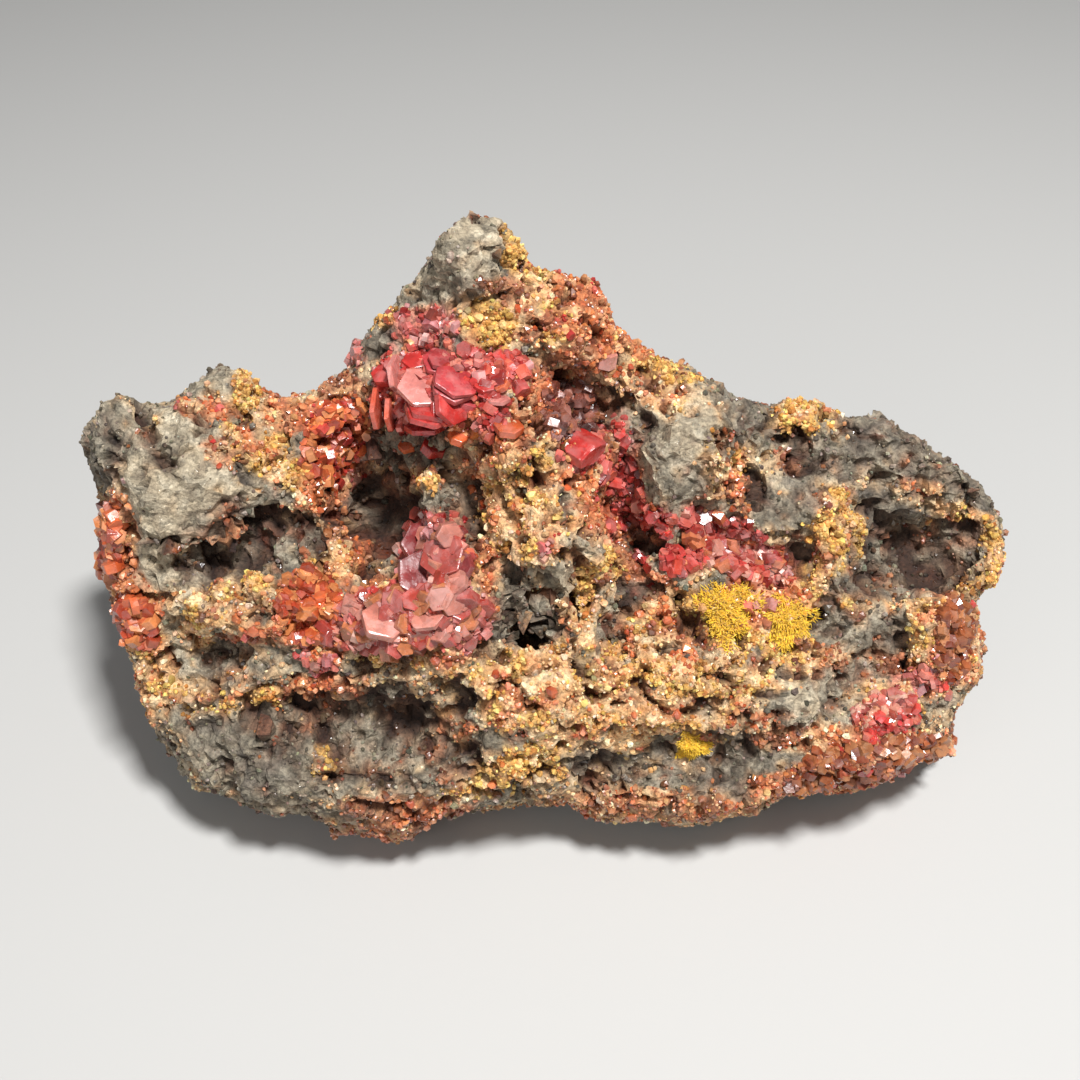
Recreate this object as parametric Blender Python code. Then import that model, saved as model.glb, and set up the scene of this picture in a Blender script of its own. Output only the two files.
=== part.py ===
"""Vanadinite on matrix: a boulder of ore rock that stands on four flat-ended feet, with the
groups of red hexagonal crystals, the orange druses and the yellow tufts that grew on it.

Metres, +Z up. The origin is under the middle of the boulder, on the surface that it rests on,
and the display face looks along -Y and up. Lengths in the tables are millimetres.
"""

import math
import random

import bpy
import bmesh
import numpy as np
from mathutils import Matrix, Vector, noise
from mathutils.bvhtree import BVHTree

MM = 0.001

# ---------------------------------------------------------------- driving dimensions
DISPLAY_TILT = math.radians(42.0)  # how far above the horizon the display face looks
EYE_DISTANCE = 172.0 * MM  # where the display outline's sides would meet
DISPLAY_CENTRE = Vector((0.0, 0.0, 31.4 * MM))
FACE_LEAN = 0.5  # how much nearer the widest line gets to the eye, for each mm up
OUTLINE_EASE = 0.15  # mm that the outline is widened by, which smoothing then takes off
SWEEP = 60.0 * MM  # how far the outline's sides reach before and behind the widest line
STAND_MIDDLE = Vector((1.6 * MM, -3.1 * MM, 0.0))  # what the origin is moved to, on the plan
BELLY = 3.0  # mm from the stand to the underside between the feet
FOOT_DROP = 4.2 * MM  # how far a foot reaches below the boulder's underside
COARSE_VOXEL = 1.3 * MM
FINE_VOXEL = 0.95 * MM
ROCK_TRIANGLES = 5600

# The broken skin of the rock: the size of its features, and how far each kind moves it.
STEP_SIZE, STEP_HEIGHT = 9.0, 1.7
KNOB_SIZE, KNOB_HEIGHT = 11.0, 1.5
GRIT_SIZE, GRIT_HEIGHT = 2.6, 0.45
EDGE_SHARPNESS, EDGE_SOFTNESS = 1.8, 0.8  # how steeply a lump or hollow ends
FULL_RELIEF_FACING = 2.2  # skin that turns further from the eye gets less of the relief
BACK_ROUGHER = 0.8  # how much more the back is broken than the display face
CALM_BELOW = 6.0  # mm above the stand under which the skin calms down

FOOT_ROOT = 14.0 * MM  # a foot is drawn from the underside below this height
SEAT_GAP = 0.35 * MM  # clear space between the rock and what grew on it
BARREL_FROM = 2.25 * MM  # crystals of this radius and over have bevelled ends
FLAT = math.radians(2.0)
GOLDEN_ANGLE = math.radians(137.5)
LEAN = 0.8  # how far a group's crystals lean from straight out
PROUD = 0.18  # how far a crystal's middle stands out, of its lesser size
TAPER_BEHIND, FLARE_BEHIND = 0.78, 1.15  # widths of the outline's sweep at its far end

# A crystal's rings of corners: where along its length, and how wide.
PRISM = ((0.5, 0.93), (-0.5, 1.0))
BARREL = ((0.5, 0.80), (0.34, 1.0), (-0.34, 1.0), (-0.5, 0.80))

RIGHT = Vector((1.0, 0.0, 0.0))
UP = Vector((0.0, math.sin(DISPLAY_TILT), math.cos(DISPLAY_TILT)))
OUT = Vector((0.0, -math.cos(DISPLAY_TILT), math.sin(DISPLAY_TILT)))  # towards the viewer
EYE = DISPLAY_CENTRE + OUT * EYE_DISTANCE

# The boulder's cross-sections, from left to right: where along X, the ridge's height, the
# ridge's front and back edge, the front foot line and the back.
SECTIONS = (
    (-62, 44, 0, 8, -6, 16),
    (-51, 58, -3, 9, -21, 21),
    (-36, 60, 1, 11, -29, 24),
    (-21, 67, 3, 12, -31, 26),
    (-8, 85, 5, 12, -30, 26),
    (6, 74, 5, 13, -27, 26),
    (20, 60, 3, 14, -29, 26),
    (36, 56, 3, 14, -27, 25),
    (51, 51, 3, 14, -24, 22),
    (62, 45, 3, 12, -14, 18),
    (71, 34, 6, 11, 2, 14),
)

# The boulder's outline on the display plane, clockwise from the peak: right, up.
OUTLINE = (
    (-9.3, 45.0), (-5.7, 42.2), (-3.0, 39.5), (0.0, 35.6), (4.8, 35.4), (8.2, 32.3),
    (9.2, 29.0), (13.2, 25.9), (16.5, 23.8), (19.8, 23.1), (22.8, 20.8), (25.8, 20.0),
    (31.0, 17.9), (37.0, 18.1), (41.0, 16.2), (45.0, 16.8), (48.4, 13.8), (53.6, 10.8),
    (59.6, 7.9), (60.0, 5.2), (61.6, 1.3), (60.6, -4.7), (57.0, -7.6), (58.5, -14.6),
    (58.0, -18.6), (54.6, -22.6), (54.2, -28.5), (48.4, -29.5), (42.4, -33.1),
    (31.8, -33.4), (27.8, -36.4), (17.9, -37.5), (7.9, -36.8), (4.0, -34.2),
    (-5.3, -35.1), (-10.6, -35.5), (-14.6, -38.1), (-18.5, -40.3), (-22.6, -38.2),
    (-27.2, -39.3), (-29.8, -36.4), (-38.4, -35.5), (-45.7, -33.2), (-47.7, -29.1),
    (-51.0, -25.8), (-52.3, -21.2), (-53.6, -15.2), (-55.6, -10.6), (-56.6, -7.3),
    (-57.4, -5.3), (-57.6, 4.2), (-58.9, 9.3), (-60.6, 12.0), (-60.9, 15.9),
    (-58.2, 18.3), (-54.9, 19.9), (-52.3, 18.3), (-50.5, 16.8), (-46.3, 20.5),
    (-42.1, 23.2), (-38.4, 21.4), (-35.1, 18.1), (-30.4, 19.2), (-27.1, 21.4),
    (-24.9, 22.5), (-24.6, 25.6), (-22.2, 29.1), (-19.2, 30.2), (-18.8, 32.4),
    (-14.6, 36.4), (-12.4, 41.0),
)

# Lumps and hollows of the display face: name, right, up, half width, half height, turn in
# degrees, rise (a hollow's is negative).
RELIEF = (
    ("left_horn", -57.0, 13.0, 4.0, 5.6, 0, 3.5),
    ("horn_groove", -52.0, 13.0, 0.7, 4.5, 12, -2.5),
    ("left_block", -47.5, 8.0, 7.7, 7.7, 0, 6.5),
    ("left_knob", -40.5, 19.5, 4.5, 3.4, -20, 3.0),
    ("block_foot", -49.5, -4.0, 4.8, 3.4, -20, 3.0),
    ("orange_knob", -41.5, 12.0, 2.4, 2.4, 0, 1.6),
    ("gold_knob_left", -34.5, 11.0, 2.1, 1.9, 0, 1.4),
    ("block_shade", -39.5, -0.5, 9.8, 4.0, 14, -4.0),
    ("left_rib", -41.0, -9.5, 13.2, 2.6, -6, 3.0),
    ("left_hole", -42.0, -15.0, 3.6, 1.5, 8, -6.0),
    ("left_pit", -42.0, -18.5, 1.3, 0.8, 0, -2.5),
    ("roof_rim", -33.0, -20.0, 12.6, 2.1, 6, 3.5),
    ("slab_hollow", -23.0, -24.0, 15.6, 4.5, -8, -5.5),
    ("slab_pocket", -10.5, -22.0, 2.4, 3.2, 0, -4.0),
    ("slab_lump", -29.0, -29.5, 2.4, 1.9, 0, 2.5),
    ("low_left_rim", -32.0, -34.5, 13.2, 2.6, -14, 2.5),
    ("low_tip", -19.0, -38.5, 4.8, 2.9, 0, 2.0),
    ("cave", -22.0, 6.5, 6.1, 9.5, 18, -11.0),
    ("cave_back", -11.0, 7.5, 2.9, 5.8, 0, -7.0),
    ("cave_finger", -14.5, 5.0, 1.7, 5.6, 32, 5.5),
    ("cave_floor", -20.5, -2.5, 4.5, 3.4, -20, -2.5),
    ("red_boss", -15.0, 19.5, 6.1, 5.3, 0, 3.0),
    ("red_wall", -27.0, 14.5, 3.4, 5.8, -30, 1.5),
    ("grey_nub", -19.5, 13.0, 1.6, 1.5, 0, 3.0),
    ("left_shoulder", -22.0, 26.5, 3.7, 3.4, 0, 2.5),
    ("peak", -10.5, 37.0, 6.6, 6.1, 0, 3.0),
    ("peak_hollow", -7.0, 29.5, 2.4, 1.9, 0, -2.6),
    ("slope_boss", 4.0, 30.0, 6.6, 5.6, -20, 4.5),
    ("slope_foot", 13.0, 26.0, 3.2, 2.6, -25, 2.0),
    ("slope_line", 20.0, 20.5, 6.6, 2.9, -25, 1.5),
    ("tongue", -0.5, 9.5, 6.1, 13.2, 4, 5.5),
    ("tongue_tip", 2.5, -2.5, 6.9, 6.1, 8, 4.0),
    ("tongue_lobe", 7.0, 4.0, 2.9, 6.1, -6, 3.0),
    ("tongue_crack", 3.5, 4.0, 0.7, 4.2, 8, -3.5),
    ("tongue_pit_left", -4.5, 6.5, 1.2, 1.1, 0, -3.0),
    ("tongue_pit_right", 0.0, 7.0, 1.6, 1.2, 0, -3.0),
    ("tongue_pit_low", -4.0, 3.0, 1.3, 1.1, 20, -2.6),
    ("tongue_pit_foot", -4.0, -4.5, 1.3, 1.7, 0, -3.6),
    ("tongue_pit_side", -8.5, 0.0, 1.6, 1.7, 0, -3.0),
    ("cleft_head", 4.5, 20.0, 7.1, 2.6, -34, -6.5),
    ("cleft_lip", 8.0, 22.0, 6.6, 1.2, -30, 2.0),
    ("cleft_middle", 11.0, 8.0, 2.9, 7.4, 0, -8.5),
    ("cleft_gut", 13.0, 1.0, 3.4, 2.9, -20, -6.5),
    ("cleft_foot", 12.5, -6.0, 2.0, 4.0, 0, -5.5),
    ("pink_shelf", -17.0, -11.0, 9.8, 5.0, 8, 4.5),
    ("pink_rise", -13.0, -3.5, 4.0, 5.6, -10, 2.0),
    ("tongue_hole", 0.5, -10.0, 3.4, 3.4, 0, -9.0),
    ("tongue_hole_left", -4.0, -12.0, 3.2, 1.3, -24, -4.5),
    ("grey_shard", -3.5, -9.5, 1.9, 2.2, -30, 3.5),
    ("shelf_hole", 10.0, -13.5, 1.9, 3.2, 0, -8.0),
    ("tan_shelf", 8.5, -20.0, 19.8, 6.9, 4, 6.0),
    ("tan_shelf_lip", 8.0, -25.0, 14.6, 2.4, 2, 2.0),
    ("shelf_pit_1", 17.5, -14.5, 3.4, 0.9, 8, -3.5),
    ("shelf_pit_2", 21.5, -22.0, 2.6, 1.5, 12, -4.0),
    ("shelf_pit_3", 5.0, -16.5, 1.1, 0.8, 0, -2.0),
    ("shelf_pit_4", 33.0, -17.5, 1.9, 1.2, 0, -3.0),
    ("shelf_pit_5", 24.5, -18.5, 1.2, 0.9, 0, -2.4),
    ("under_shelf", 14.5, -30.0, 15.9, 2.0, 6, -4.0),
    ("middle_lip", 0.0, -29.5, 5.6, 3.2, 0, 2.6),
    ("low_right_lip", 16.5, -35.0, 12.6, 2.4, 2, 2.5),
    ("grey_block", 20.0, 14.5, 6.9, 4.8, 10, 5.0),
    ("grey_wedge", 19.0, 6.5, 4.2, 3.4, -30, 3.5),
    ("block_nick", 14.0, 15.5, 1.3, 1.2, 0, -3.0),
    ("gold_band", 24.5, 9.5, 2.9, 6.6, 8, 1.5),
    ("grey_knob", 27.0, 17.0, 4.5, 4.2, -25, 3.5),
    ("knob_pit", 31.0, 14.0, 1.6, 1.3, -20, -4.5),
    ("gold_knob", 35.0, 16.5, 4.2, 2.9, -10, 3.0),
    ("right_slit", 28.5, 7.0, 1.2, 2.6, 10, -4.0),
    ("gold_rib", 38.5, 0.0, 4.5, 7.4, 0, 4.0),
    ("red_hollow", 25.0, 0.5, 6.9, 2.2, -34, -6.5),
    ("red_hollow_pit", 34.5, -2.5, 1.6, 2.6, 25, -5.0),
    ("tuft_seat", 25.0, -9.5, 4.5, 4.0, 0, 1.0),
    ("right_crest", 46.5, 13.0, 7.4, 4.5, -18, 3.0),
    ("right_ridge", 55.0, 8.5, 5.8, 2.4, -22, 3.0),
    ("ridge_slot", 52.5, 5.5, 5.6, 0.5, -3, -2.4),
    ("ridge_pit", 44.5, 4.0, 1.9, 1.2, 0, -3.5),
    ("right_hollow", 48.5, -2.5, 9.5, 4.6, 12, -7.5),
    ("right_rim", 59.5, -3.0, 1.9, 5.0, 0, 3.0),
    ("hollow_sill", 43.5, -7.5, 5.8, 1.6, -8, 2.5),
    ("right_column", 53.0, -13.5, 4.5, 7.1, 0, 3.5),
    ("right_slit_low", 48.0, -13.0, 0.9, 3.7, 0, -5.0),
    ("dark_pits", 38.0, -11.0, 1.6, 2.9, 0, -3.0),
    ("grey_plate", 34.5, -22.0, 4.5, 2.4, 10, 2.0),
    ("right_shoulder", 48.5, -23.5, 6.9, 3.2, 20, 3.0),
    ("low_right_rim", 41.0, -30.5, 10.6, 2.6, 14, 2.5),
)

# The four feet: across, along Y, radius, all on the plan.
FEET = ((-22, -17, 9.0), (26, -13, 9.0), (-40, 10, 9.0), (42, 11, 9.0))

# Planes that the back and the ends broke along: a point of the plane, and its outward normal.
FRACTURES = (
    ((-30, 21, 30), (-0.35, 1.0, 0.22)),
    ((22, 23, 30), (0.22, 1.0, 0.10)),
    ((-6, 25, 58), (0.05, 0.9, 0.55)),
    ((40, 16, 44), (0.35, 0.8, 0.8)),
    ((-46, 14, 46), (-0.5, 0.75, 0.7)),
    ((0, 22, 8), (0.0, 0.8, -0.7)),
    ((60, 12, 12), (0.8, 0.25, -0.6)),
    ((-52, 8, 10), (-0.8, 0.2, -0.6)),
)

RED = (0.62, 0.045, 0.025)
PINK = (0.66, 0.16, 0.13)
ORANGE = (0.70, 0.20, 0.06)
YELLOW = (0.82, 0.60, 0.02)

# Crystals that are placed one by one: right, up, radius, length, and the way the prism's axis
# points, as right, up, out.
PLACED = {
    "red_crystals": (
        (-15.2, 20.9, 4.4, 3.0, 0.15, 0.75, 0.60),
        (-14.8, 15.2, 3.2, 1.5, 0.00, 0.85, 0.50),
        (-19.6, 22.2, 1.5, 4.4, -0.15, 1.00, 0.25),
        (-19.1, 17.5, 1.5, 5.0, 0.10, 1.00, 0.20),
        (-10.3, 20.1, 3.4, 2.6, 0.60, 0.25, 0.75),
        (-12.6, 24.5, 2.6, 2.4, 0.30, 0.50, 0.80),
        (-20.6, 18.8, 1.6, 3.2, -0.60, 0.50, 0.50),
        (-11.9, 16.9, 2.6, 2.0, 0.50, 0.60, 0.50),
        (-8.6, 14.8, 2.4, 1.4, -0.75, 0.25, 0.60),
        (-4.2, 15.1, 2.1, 1.5, 0.10, 0.80, 0.55),
        (-6.4, 15.4, 2.0, 1.6, 0.20, 0.50, 0.80),
        (-6.6, 18.6, 2.0, 1.5, 0.30, 0.60, 0.70),
        (-4.6, 19.4, 1.8, 1.4, -0.30, 0.70, 0.50),
    ),
    "barrel_crystal": ((5.7, 11.6, 2.3, 4.8, 0.85, 0.35, 0.40),),
}

# Groups that fill patches: the name, the colour, and for each patch its middle (right, up),
# half width, half height, turn in degrees, how many crystals, their least and largest
# radius, and their length over their radius.
GROUPS = (
    ("cave_wall_crystals", ORANGE, ((-27.6, 13.6, 3.0, 4.6, -30, 9, 1.3, 1.9, 1.2),)),
    (
        "pink_crystals",
        PINK,
        (
            (-13.6, -3.6, 2.4, 4.4, -10, 5, 2.0, 2.6, 1.0),
            (-17.0, -10.6, 8.4, 3.0, 8, 10, 2.0, 2.8, 0.9),
        ),
    ),
    ("ledge_crystals", ORANGE, ((-31.0, -9.3, 3.0, 4.0, 0, 8, 1.3, 1.9, 1.2),)),
    ("cleft_crystals", RED, ((3.2, 17.0, 1.8, 2.6, 0, 5, 1.3, 1.8, 1.0),)),
    ("hollow_crystals", RED, ((25.8, -0.7, 6.0, 1.6, -34, 9, 1.3, 1.9, 1.2),)),
    ("left_edge_crystals", ORANGE, ((-57.2, -0.4, 0.9, 3.2, 0, 4, 1.9, 2.3, 1.5),)),
    ("left_low_crystals", ORANGE, ((-53.4, -10.6, 1.2, 2.6, 20, 5, 1.5, 1.9, 1.4),)),
    ("right_edge_crystals", ORANGE, ((54.6, -13.0, 1.6, 5.0, 0, 7, 1.5, 2.0, 1.3),)),
    ("shoulder_crystals", RED, ((45.0, -22.0, 3.4, 1.4, 20, 5, 1.4, 1.9, 1.1),)),
    ("low_right_crystals", ORANGE, ((43.0, -29.6, 9.0, 1.4, 14, 10, 1.8, 2.2, 1.3),)),
)

# Radiating yellow tufts: name, right, up, half width, half height, height.
TUFTS = (
    ("left_tuft", 24.9, -9.5, 2.9, 3.4, 2.2),
    ("right_tuft", 33.1, -10.8, 2.4, 2.8, 1.8),
    ("low_tuft", 20.1, -27.2, 2.0, 1.4, 1.4),
)


# ---------------------------------------------------------------- small helpers
def clear_scene():
    """Remove every object of the file that the script is run in."""
    for existing in list(bpy.data.objects):
        bpy.data.objects.remove(existing, do_unlink=True)


def material(name, colour, roughness):
    """A Principled material with the part's colour and roughness."""
    made = bpy.data.materials.new(name)
    made.use_nodes = True
    shader = made.node_tree.nodes["Principled BSDF"]
    shader.inputs["Base Color"].default_value = (*colour, 1.0)
    shader.inputs["Roughness"].default_value = roughness
    shader.inputs["Metallic"].default_value = 0.0
    return made


def object_from(name, built):
    """Turn a bmesh into a linked object, and free the bmesh."""
    mesh = bpy.data.meshes.new(name)
    built.to_mesh(mesh)
    built.free()
    made = bpy.data.objects.new(name, mesh)
    bpy.context.scene.collection.objects.link(made)
    return made


def bake_modifiers(target):
    """Replace the object's mesh by what its modifiers make of it."""
    graph = bpy.context.evaluated_depsgraph_get()
    baked = bpy.data.meshes.new_from_object(target.evaluated_get(graph))
    old = target.data
    target.modifiers.clear()
    target.data = baked
    bpy.data.meshes.remove(old)


def remesh(target, voxel):
    """Rebuild the surface as one even closed skin."""
    skin = target.modifiers.new("skin", "REMESH")
    skin.mode = "VOXEL"
    skin.voxel_size = voxel
    bake_modifiers(target)


def boolean(target, other, operation):
    """Combine target with other for good, and remove other."""
    step = target.modifiers.new("boolean", "BOOLEAN")
    step.operation = operation
    step.solver = "EXACT"
    step.object = other
    step.use_self = True
    bake_modifiers(target)
    bpy.data.objects.remove(other, do_unlink=True)


def keep_largest_piece(target):
    """Drop the crumbs that a cut or a remesh leaves beside the main body."""
    built = bmesh.new()
    built.from_mesh(target.data)
    left = set(built.verts)
    pieces = []
    while left:
        piece, front = set(), [left.pop()]
        while front:
            vert = front.pop()
            piece.add(vert)
            for edge in vert.link_edges:
                other = edge.other_vert(vert)
                if other in left:
                    left.discard(other)
                    front.append(other)
        pieces.append(piece)
    pieces.sort(key=len)
    crumbs = [vert for piece in pieces[:-1] for vert in piece]
    bmesh.ops.delete(built, geom=crumbs, context="VERTS")
    built.to_mesh(target.data)
    built.free()


def thin_out(target, triangles):
    """Reduce the mesh to about this many triangles, keeping more of them on the front."""
    mesh = target.data
    back = target.vertex_groups.new(name="back")
    facing = normals(mesh) @ np.array(OUT)
    for i, value in enumerate(facing):
        away = float(np.clip(0.5 - value, 0.0, 1.0))
        back.add([i], 0.5 + 0.5 * away, "REPLACE")
    corners = sum(len(face.vertices) - 2 for face in mesh.polygons)
    thin = target.modifiers.new("facets", "DECIMATE")
    thin.ratio = min(1.0, triangles / corners)
    thin.vertex_group = back.name
    thin.vertex_group_factor = 1.0
    bake_modifiers(target)
    target.vertex_groups.clear()


def merge_flat_faces(target):
    """Join neighbouring faces that lie in one plane, then split them into triangles again."""
    built = bmesh.new()
    built.from_mesh(target.data)
    bmesh.ops.dissolve_limit(built, angle_limit=FLAT, verts=built.verts, edges=built.edges)
    bmesh.ops.triangulate(built, faces=built.faces)
    built.to_mesh(target.data)
    built.free()


def coordinates(mesh):
    """The mesh's vertices as an array with a row for each."""
    flat = np.empty(len(mesh.vertices) * 3)
    mesh.vertices.foreach_get("co", flat)
    return flat.reshape(-1, 3)


def normals(mesh):
    """The mesh's vertex normals as an array with a row for each."""
    flat = np.empty(len(mesh.vertices) * 3)
    mesh.vertices.foreach_get("normal", flat)
    return flat.reshape(-1, 3)


def set_coordinates(mesh, points):
    """Move the mesh's vertices to these points."""
    mesh.vertices.foreach_set("co", points.ravel())
    mesh.update()


def on_display(points):
    """Where points fall on the display plane, seen from the eye: right and up, in mm."""
    seen = points - np.array(EYE)
    depth = -(seen @ np.array(OUT))
    scale = EYE_DISTANCE / depth / MM
    return seen @ np.array(RIGHT) * scale, seen @ np.array(UP) * scale


def sight(right, up):
    """The direction from the eye to a point of the display plane, given in mm."""
    aim = DISPLAY_CENTRE + RIGHT * (right * MM) + UP * (up * MM)
    return (aim - EYE).normalized()


# ---------------------------------------------------------------- the boulder
def loft_body():
    """The boulder's body, lofted through its cross-sections."""
    built = bmesh.new()
    rings = []
    for x, top, ridge_front, ridge_back, front, back in SECTIONS:
        brow = 0.45 * front + 0.55 * ridge_front - 3.0
        profile = (
            (front, BELLY),
            (front - 2.0, 0.28 * top),
            (brow, 0.72 * top),
            (ridge_front, 0.98 * top),
            (ridge_back, 0.96 * top),
            (back - 4.0, 0.66 * top),
            (back, 0.26 * top),
            (back - 4.0, BELLY),
        )
        rings.append([built.verts.new((x * MM, y * MM, z * MM)) for y, z in profile])
    for left, right in zip(rings, rings[1:]):
        for i in range(len(left)):
            j = (i + 1) % len(left)
            built.faces.new((left[i], left[j], right[j], right[i]))
    built.faces.new(list(reversed(rings[0])))
    built.faces.new(rings[-1])
    bmesh.ops.recalc_face_normals(built, faces=built.faces)
    return object_from("matrix_rock", built)


def fracture(rock):
    """Break the body off along its fracture planes, and close each break."""
    built = bmesh.new()
    built.from_mesh(rock.data)
    for point, normal in FRACTURES:
        cut = bmesh.ops.bisect_plane(
            built,
            geom=built.verts[:] + built.edges[:] + built.faces[:],
            plane_co=Vector(point) * MM,
            plane_no=Vector(normal).normalized(),
            clear_outer=True,
        )
        rim = [item for item in cut["geom_cut"] if isinstance(item, bmesh.types.BMEdge)]
        bmesh.ops.edgeloop_fill(built, edges=rim)
    bmesh.ops.recalc_face_normals(built, faces=built.faces)
    built.to_mesh(rock.data)
    built.free()


def outline_prism(far_width):
    """The display outline swept along the lines of sight, past the boulder's widest line.

    The widest line lies nearer to the eye at the top, as the display face leans back. Behind
    it the sweep closes in or opens out by far_width.
    """
    built = bmesh.new()
    rings = []
    for behind, width in ((-SWEEP, 1.0), (0.0, 1.0), (SWEEP, far_width)):
        ring = []
        for right, up in OUTLINE:
            ease = 1.0 + OUTLINE_EASE / math.hypot(right, up)
            distance = EYE_DISTANCE - FACE_LEAN * up * MM + behind
            line = sight(right * ease, up * ease)
            aim = EYE + line * (distance / line.dot(-OUT))
            axis = EYE - OUT * distance
            ring.append(built.verts.new(axis + (aim - axis) * width))
        rings.append(ring)
    for near, far in zip(rings, rings[1:]):
        for i in range(len(near)):
            j = (i + 1) % len(near)
            built.faces.new((near[i], near[j], far[j], far[i]))
    built.faces.new(rings[0])
    built.faces.new(list(reversed(rings[-1])))
    bmesh.ops.triangulate(built, faces=built.faces)
    bmesh.ops.recalc_face_normals(built, faces=built.faces)
    return object_from("outline_prism", built)


def raise_relief(rock):
    """Push the display face out and in, towards the eye, as the relief table says."""
    points = coordinates(rock.data)
    to_eye = np.array(EYE) - points
    to_eye /= np.linalg.norm(to_eye, axis=1)[:, None]
    facing = np.clip((normals(rock.data) * to_eye).sum(axis=1) * FULL_RELIEF_FACING, 0.0, 1.0)
    right, up = on_display(points)
    rise = np.zeros(len(points))
    for _, centre_right, centre_up, half_width, half_height, turn, height in RELIEF:
        cos, sin = math.cos(math.radians(turn)), math.sin(math.radians(turn))
        du, dv = right - centre_right, up - centre_up
        across = (du * cos + dv * sin) / half_width
        along = (-du * sin + dv * cos) / half_height
        rise += height * np.exp(-EDGE_SOFTNESS * (across**2 + along**2) ** EDGE_SHARPNESS)
    set_coordinates(rock.data, points + to_eye * (rise * facing * MM)[:, None])


def roughen(rock):
    """Give the skin its broken steps, knobs and pits."""
    mesh = rock.data
    points, outward = coordinates(mesh), normals(mesh)
    shift = np.empty(len(points))
    for i, point in enumerate(points):
        spot = Vector(point) / MM
        steps = noise.voronoi(spot / STEP_SIZE)[0]
        knobs = noise.fractal(spot / KNOB_SIZE, 0.9, 2.1, 4)
        grit = noise.noise(spot / GRIT_SIZE)
        shift[i] = STEP_HEIGHT * (0.45 - steps[0]) + KNOB_HEIGHT * knobs + GRIT_HEIGHT * grit
    behind = np.clip(-(outward @ np.array(OUT)), 0.0, 1.0)
    shift *= 1.0 + BACK_ROUGHER * behind
    calm = np.clip(points[:, 2] / (CALM_BELOW * MM), 0.0, 1.0)
    set_coordinates(mesh, points + outward * (shift * calm * MM)[:, None])


def drop_feet(rock):
    """Lower the underside into four feet, which the base cut then ends flat."""
    points, outward = coordinates(rock.data), normals(rock.data)
    under = np.clip(-outward[:, 2] * 1.6, 0.0, 1.0) * (points[:, 2] < FOOT_ROOT)
    drop = np.zeros(len(points))
    for x, y, radius in FEET:
        away = np.hypot(points[:, 0] / MM - x, points[:, 1] / MM - y) / radius
        drop = np.maximum(drop, np.exp(-(away**4)))
    points[:, 2] -= FOOT_DROP * drop * under
    set_coordinates(rock.data, points)


def cut_base(rock):
    """End the feet flat on the surface that the boulder rests on."""
    bpy.ops.mesh.primitive_cube_add(size=0.2, location=(0.0, 0.0, -0.1))
    boolean(rock, bpy.context.object, "DIFFERENCE")


def build_rock():
    """The matrix: one boulder, from its loft to its final facets."""
    rock = loft_body()
    fracture(rock)
    remesh(rock, COARSE_VOXEL)
    boolean(rock, outline_prism(TAPER_BEHIND), "INTERSECT")
    keep_largest_piece(rock)
    remesh(rock, FINE_VOXEL)
    raise_relief(rock)
    remesh(rock, FINE_VOXEL)
    roughen(rock)
    drop_feet(rock)
    remesh(rock, FINE_VOXEL)
    boolean(rock, outline_prism(FLARE_BEHIND), "INTERSECT")
    remesh(rock, FINE_VOXEL)
    keep_largest_piece(rock)
    thin_out(rock, ROCK_TRIANGLES)
    cut_base(rock)
    keep_largest_piece(rock)
    return rock


# ---------------------------------------------------------------- what grew on it
def seat(tree, right, up):
    """Where the line of sight through a display point meets the rock, and the way it faces.

    A line that passes beside the rock gets the nearest point of the rock's edge.
    """
    spot, facing, _, distance = tree.ray_cast(EYE, sight(right, up))
    if distance is None:
        spot, facing, _, _ = tree.find_nearest(EYE + sight(right, up) * EYE_DISTANCE)
    return spot, facing


def frame_along(axis, turn):
    """A rotation that stands +Z along the axis, turned about it."""
    stand = axis.normalized().to_track_quat("Z", "Y").to_matrix().to_4x4()
    return stand @ Matrix.Rotation(turn, 4, "Z")


def add_crystal(built, middle, axis, radius, length, turn):
    """Add a six-sided prism, barrel-edged where it is large enough to show."""
    stations = BARREL if radius > BARREL_FROM else PRISM
    place = Matrix.Translation(middle) @ frame_along(axis, turn)
    rings = []
    for along, wide in stations:
        corners = []
        for i in range(6):
            around = Vector((radius * wide, 0.0, 0.0))
            around.rotate(Matrix.Rotation(math.radians(60.0 * i), 3, "Z"))
            corners.append(built.verts.new(place @ (around + Vector((0.0, 0.0, along * length)))))
        rings.append(corners)
    built.faces.new(rings[0])
    built.faces.new(list(reversed(rings[-1])))
    for high, low in zip(rings, rings[1:]):
        for i in range(6):
            j = (i + 1) % 6
            built.faces.new((high[i], low[i], low[j], high[j]))


def grow(name, crystals, tree):
    """Model one group's crystals, each sunk a little into the surface that it grew from."""
    built = bmesh.new()
    for right, up, radius, length, axis, turn in crystals:
        spot, facing = seat(tree, right, up)
        middle = spot + (facing + OUT).normalized() * (PROUD * min(radius, length) * MM)
        add_crystal(built, middle, axis, radius * MM, length * MM, turn)
    bmesh.ops.recalc_face_normals(built, faces=built.faces)
    return object_from(name, built)


def placed_crystals(rows):
    """The crystals of a group whose places and axes are given."""
    return [
        (right, up, radius, length, RIGHT * a + UP * b + OUT * c, 0.3 * i)
        for i, (right, up, radius, length, a, b, c) in enumerate(rows)
    ]


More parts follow.
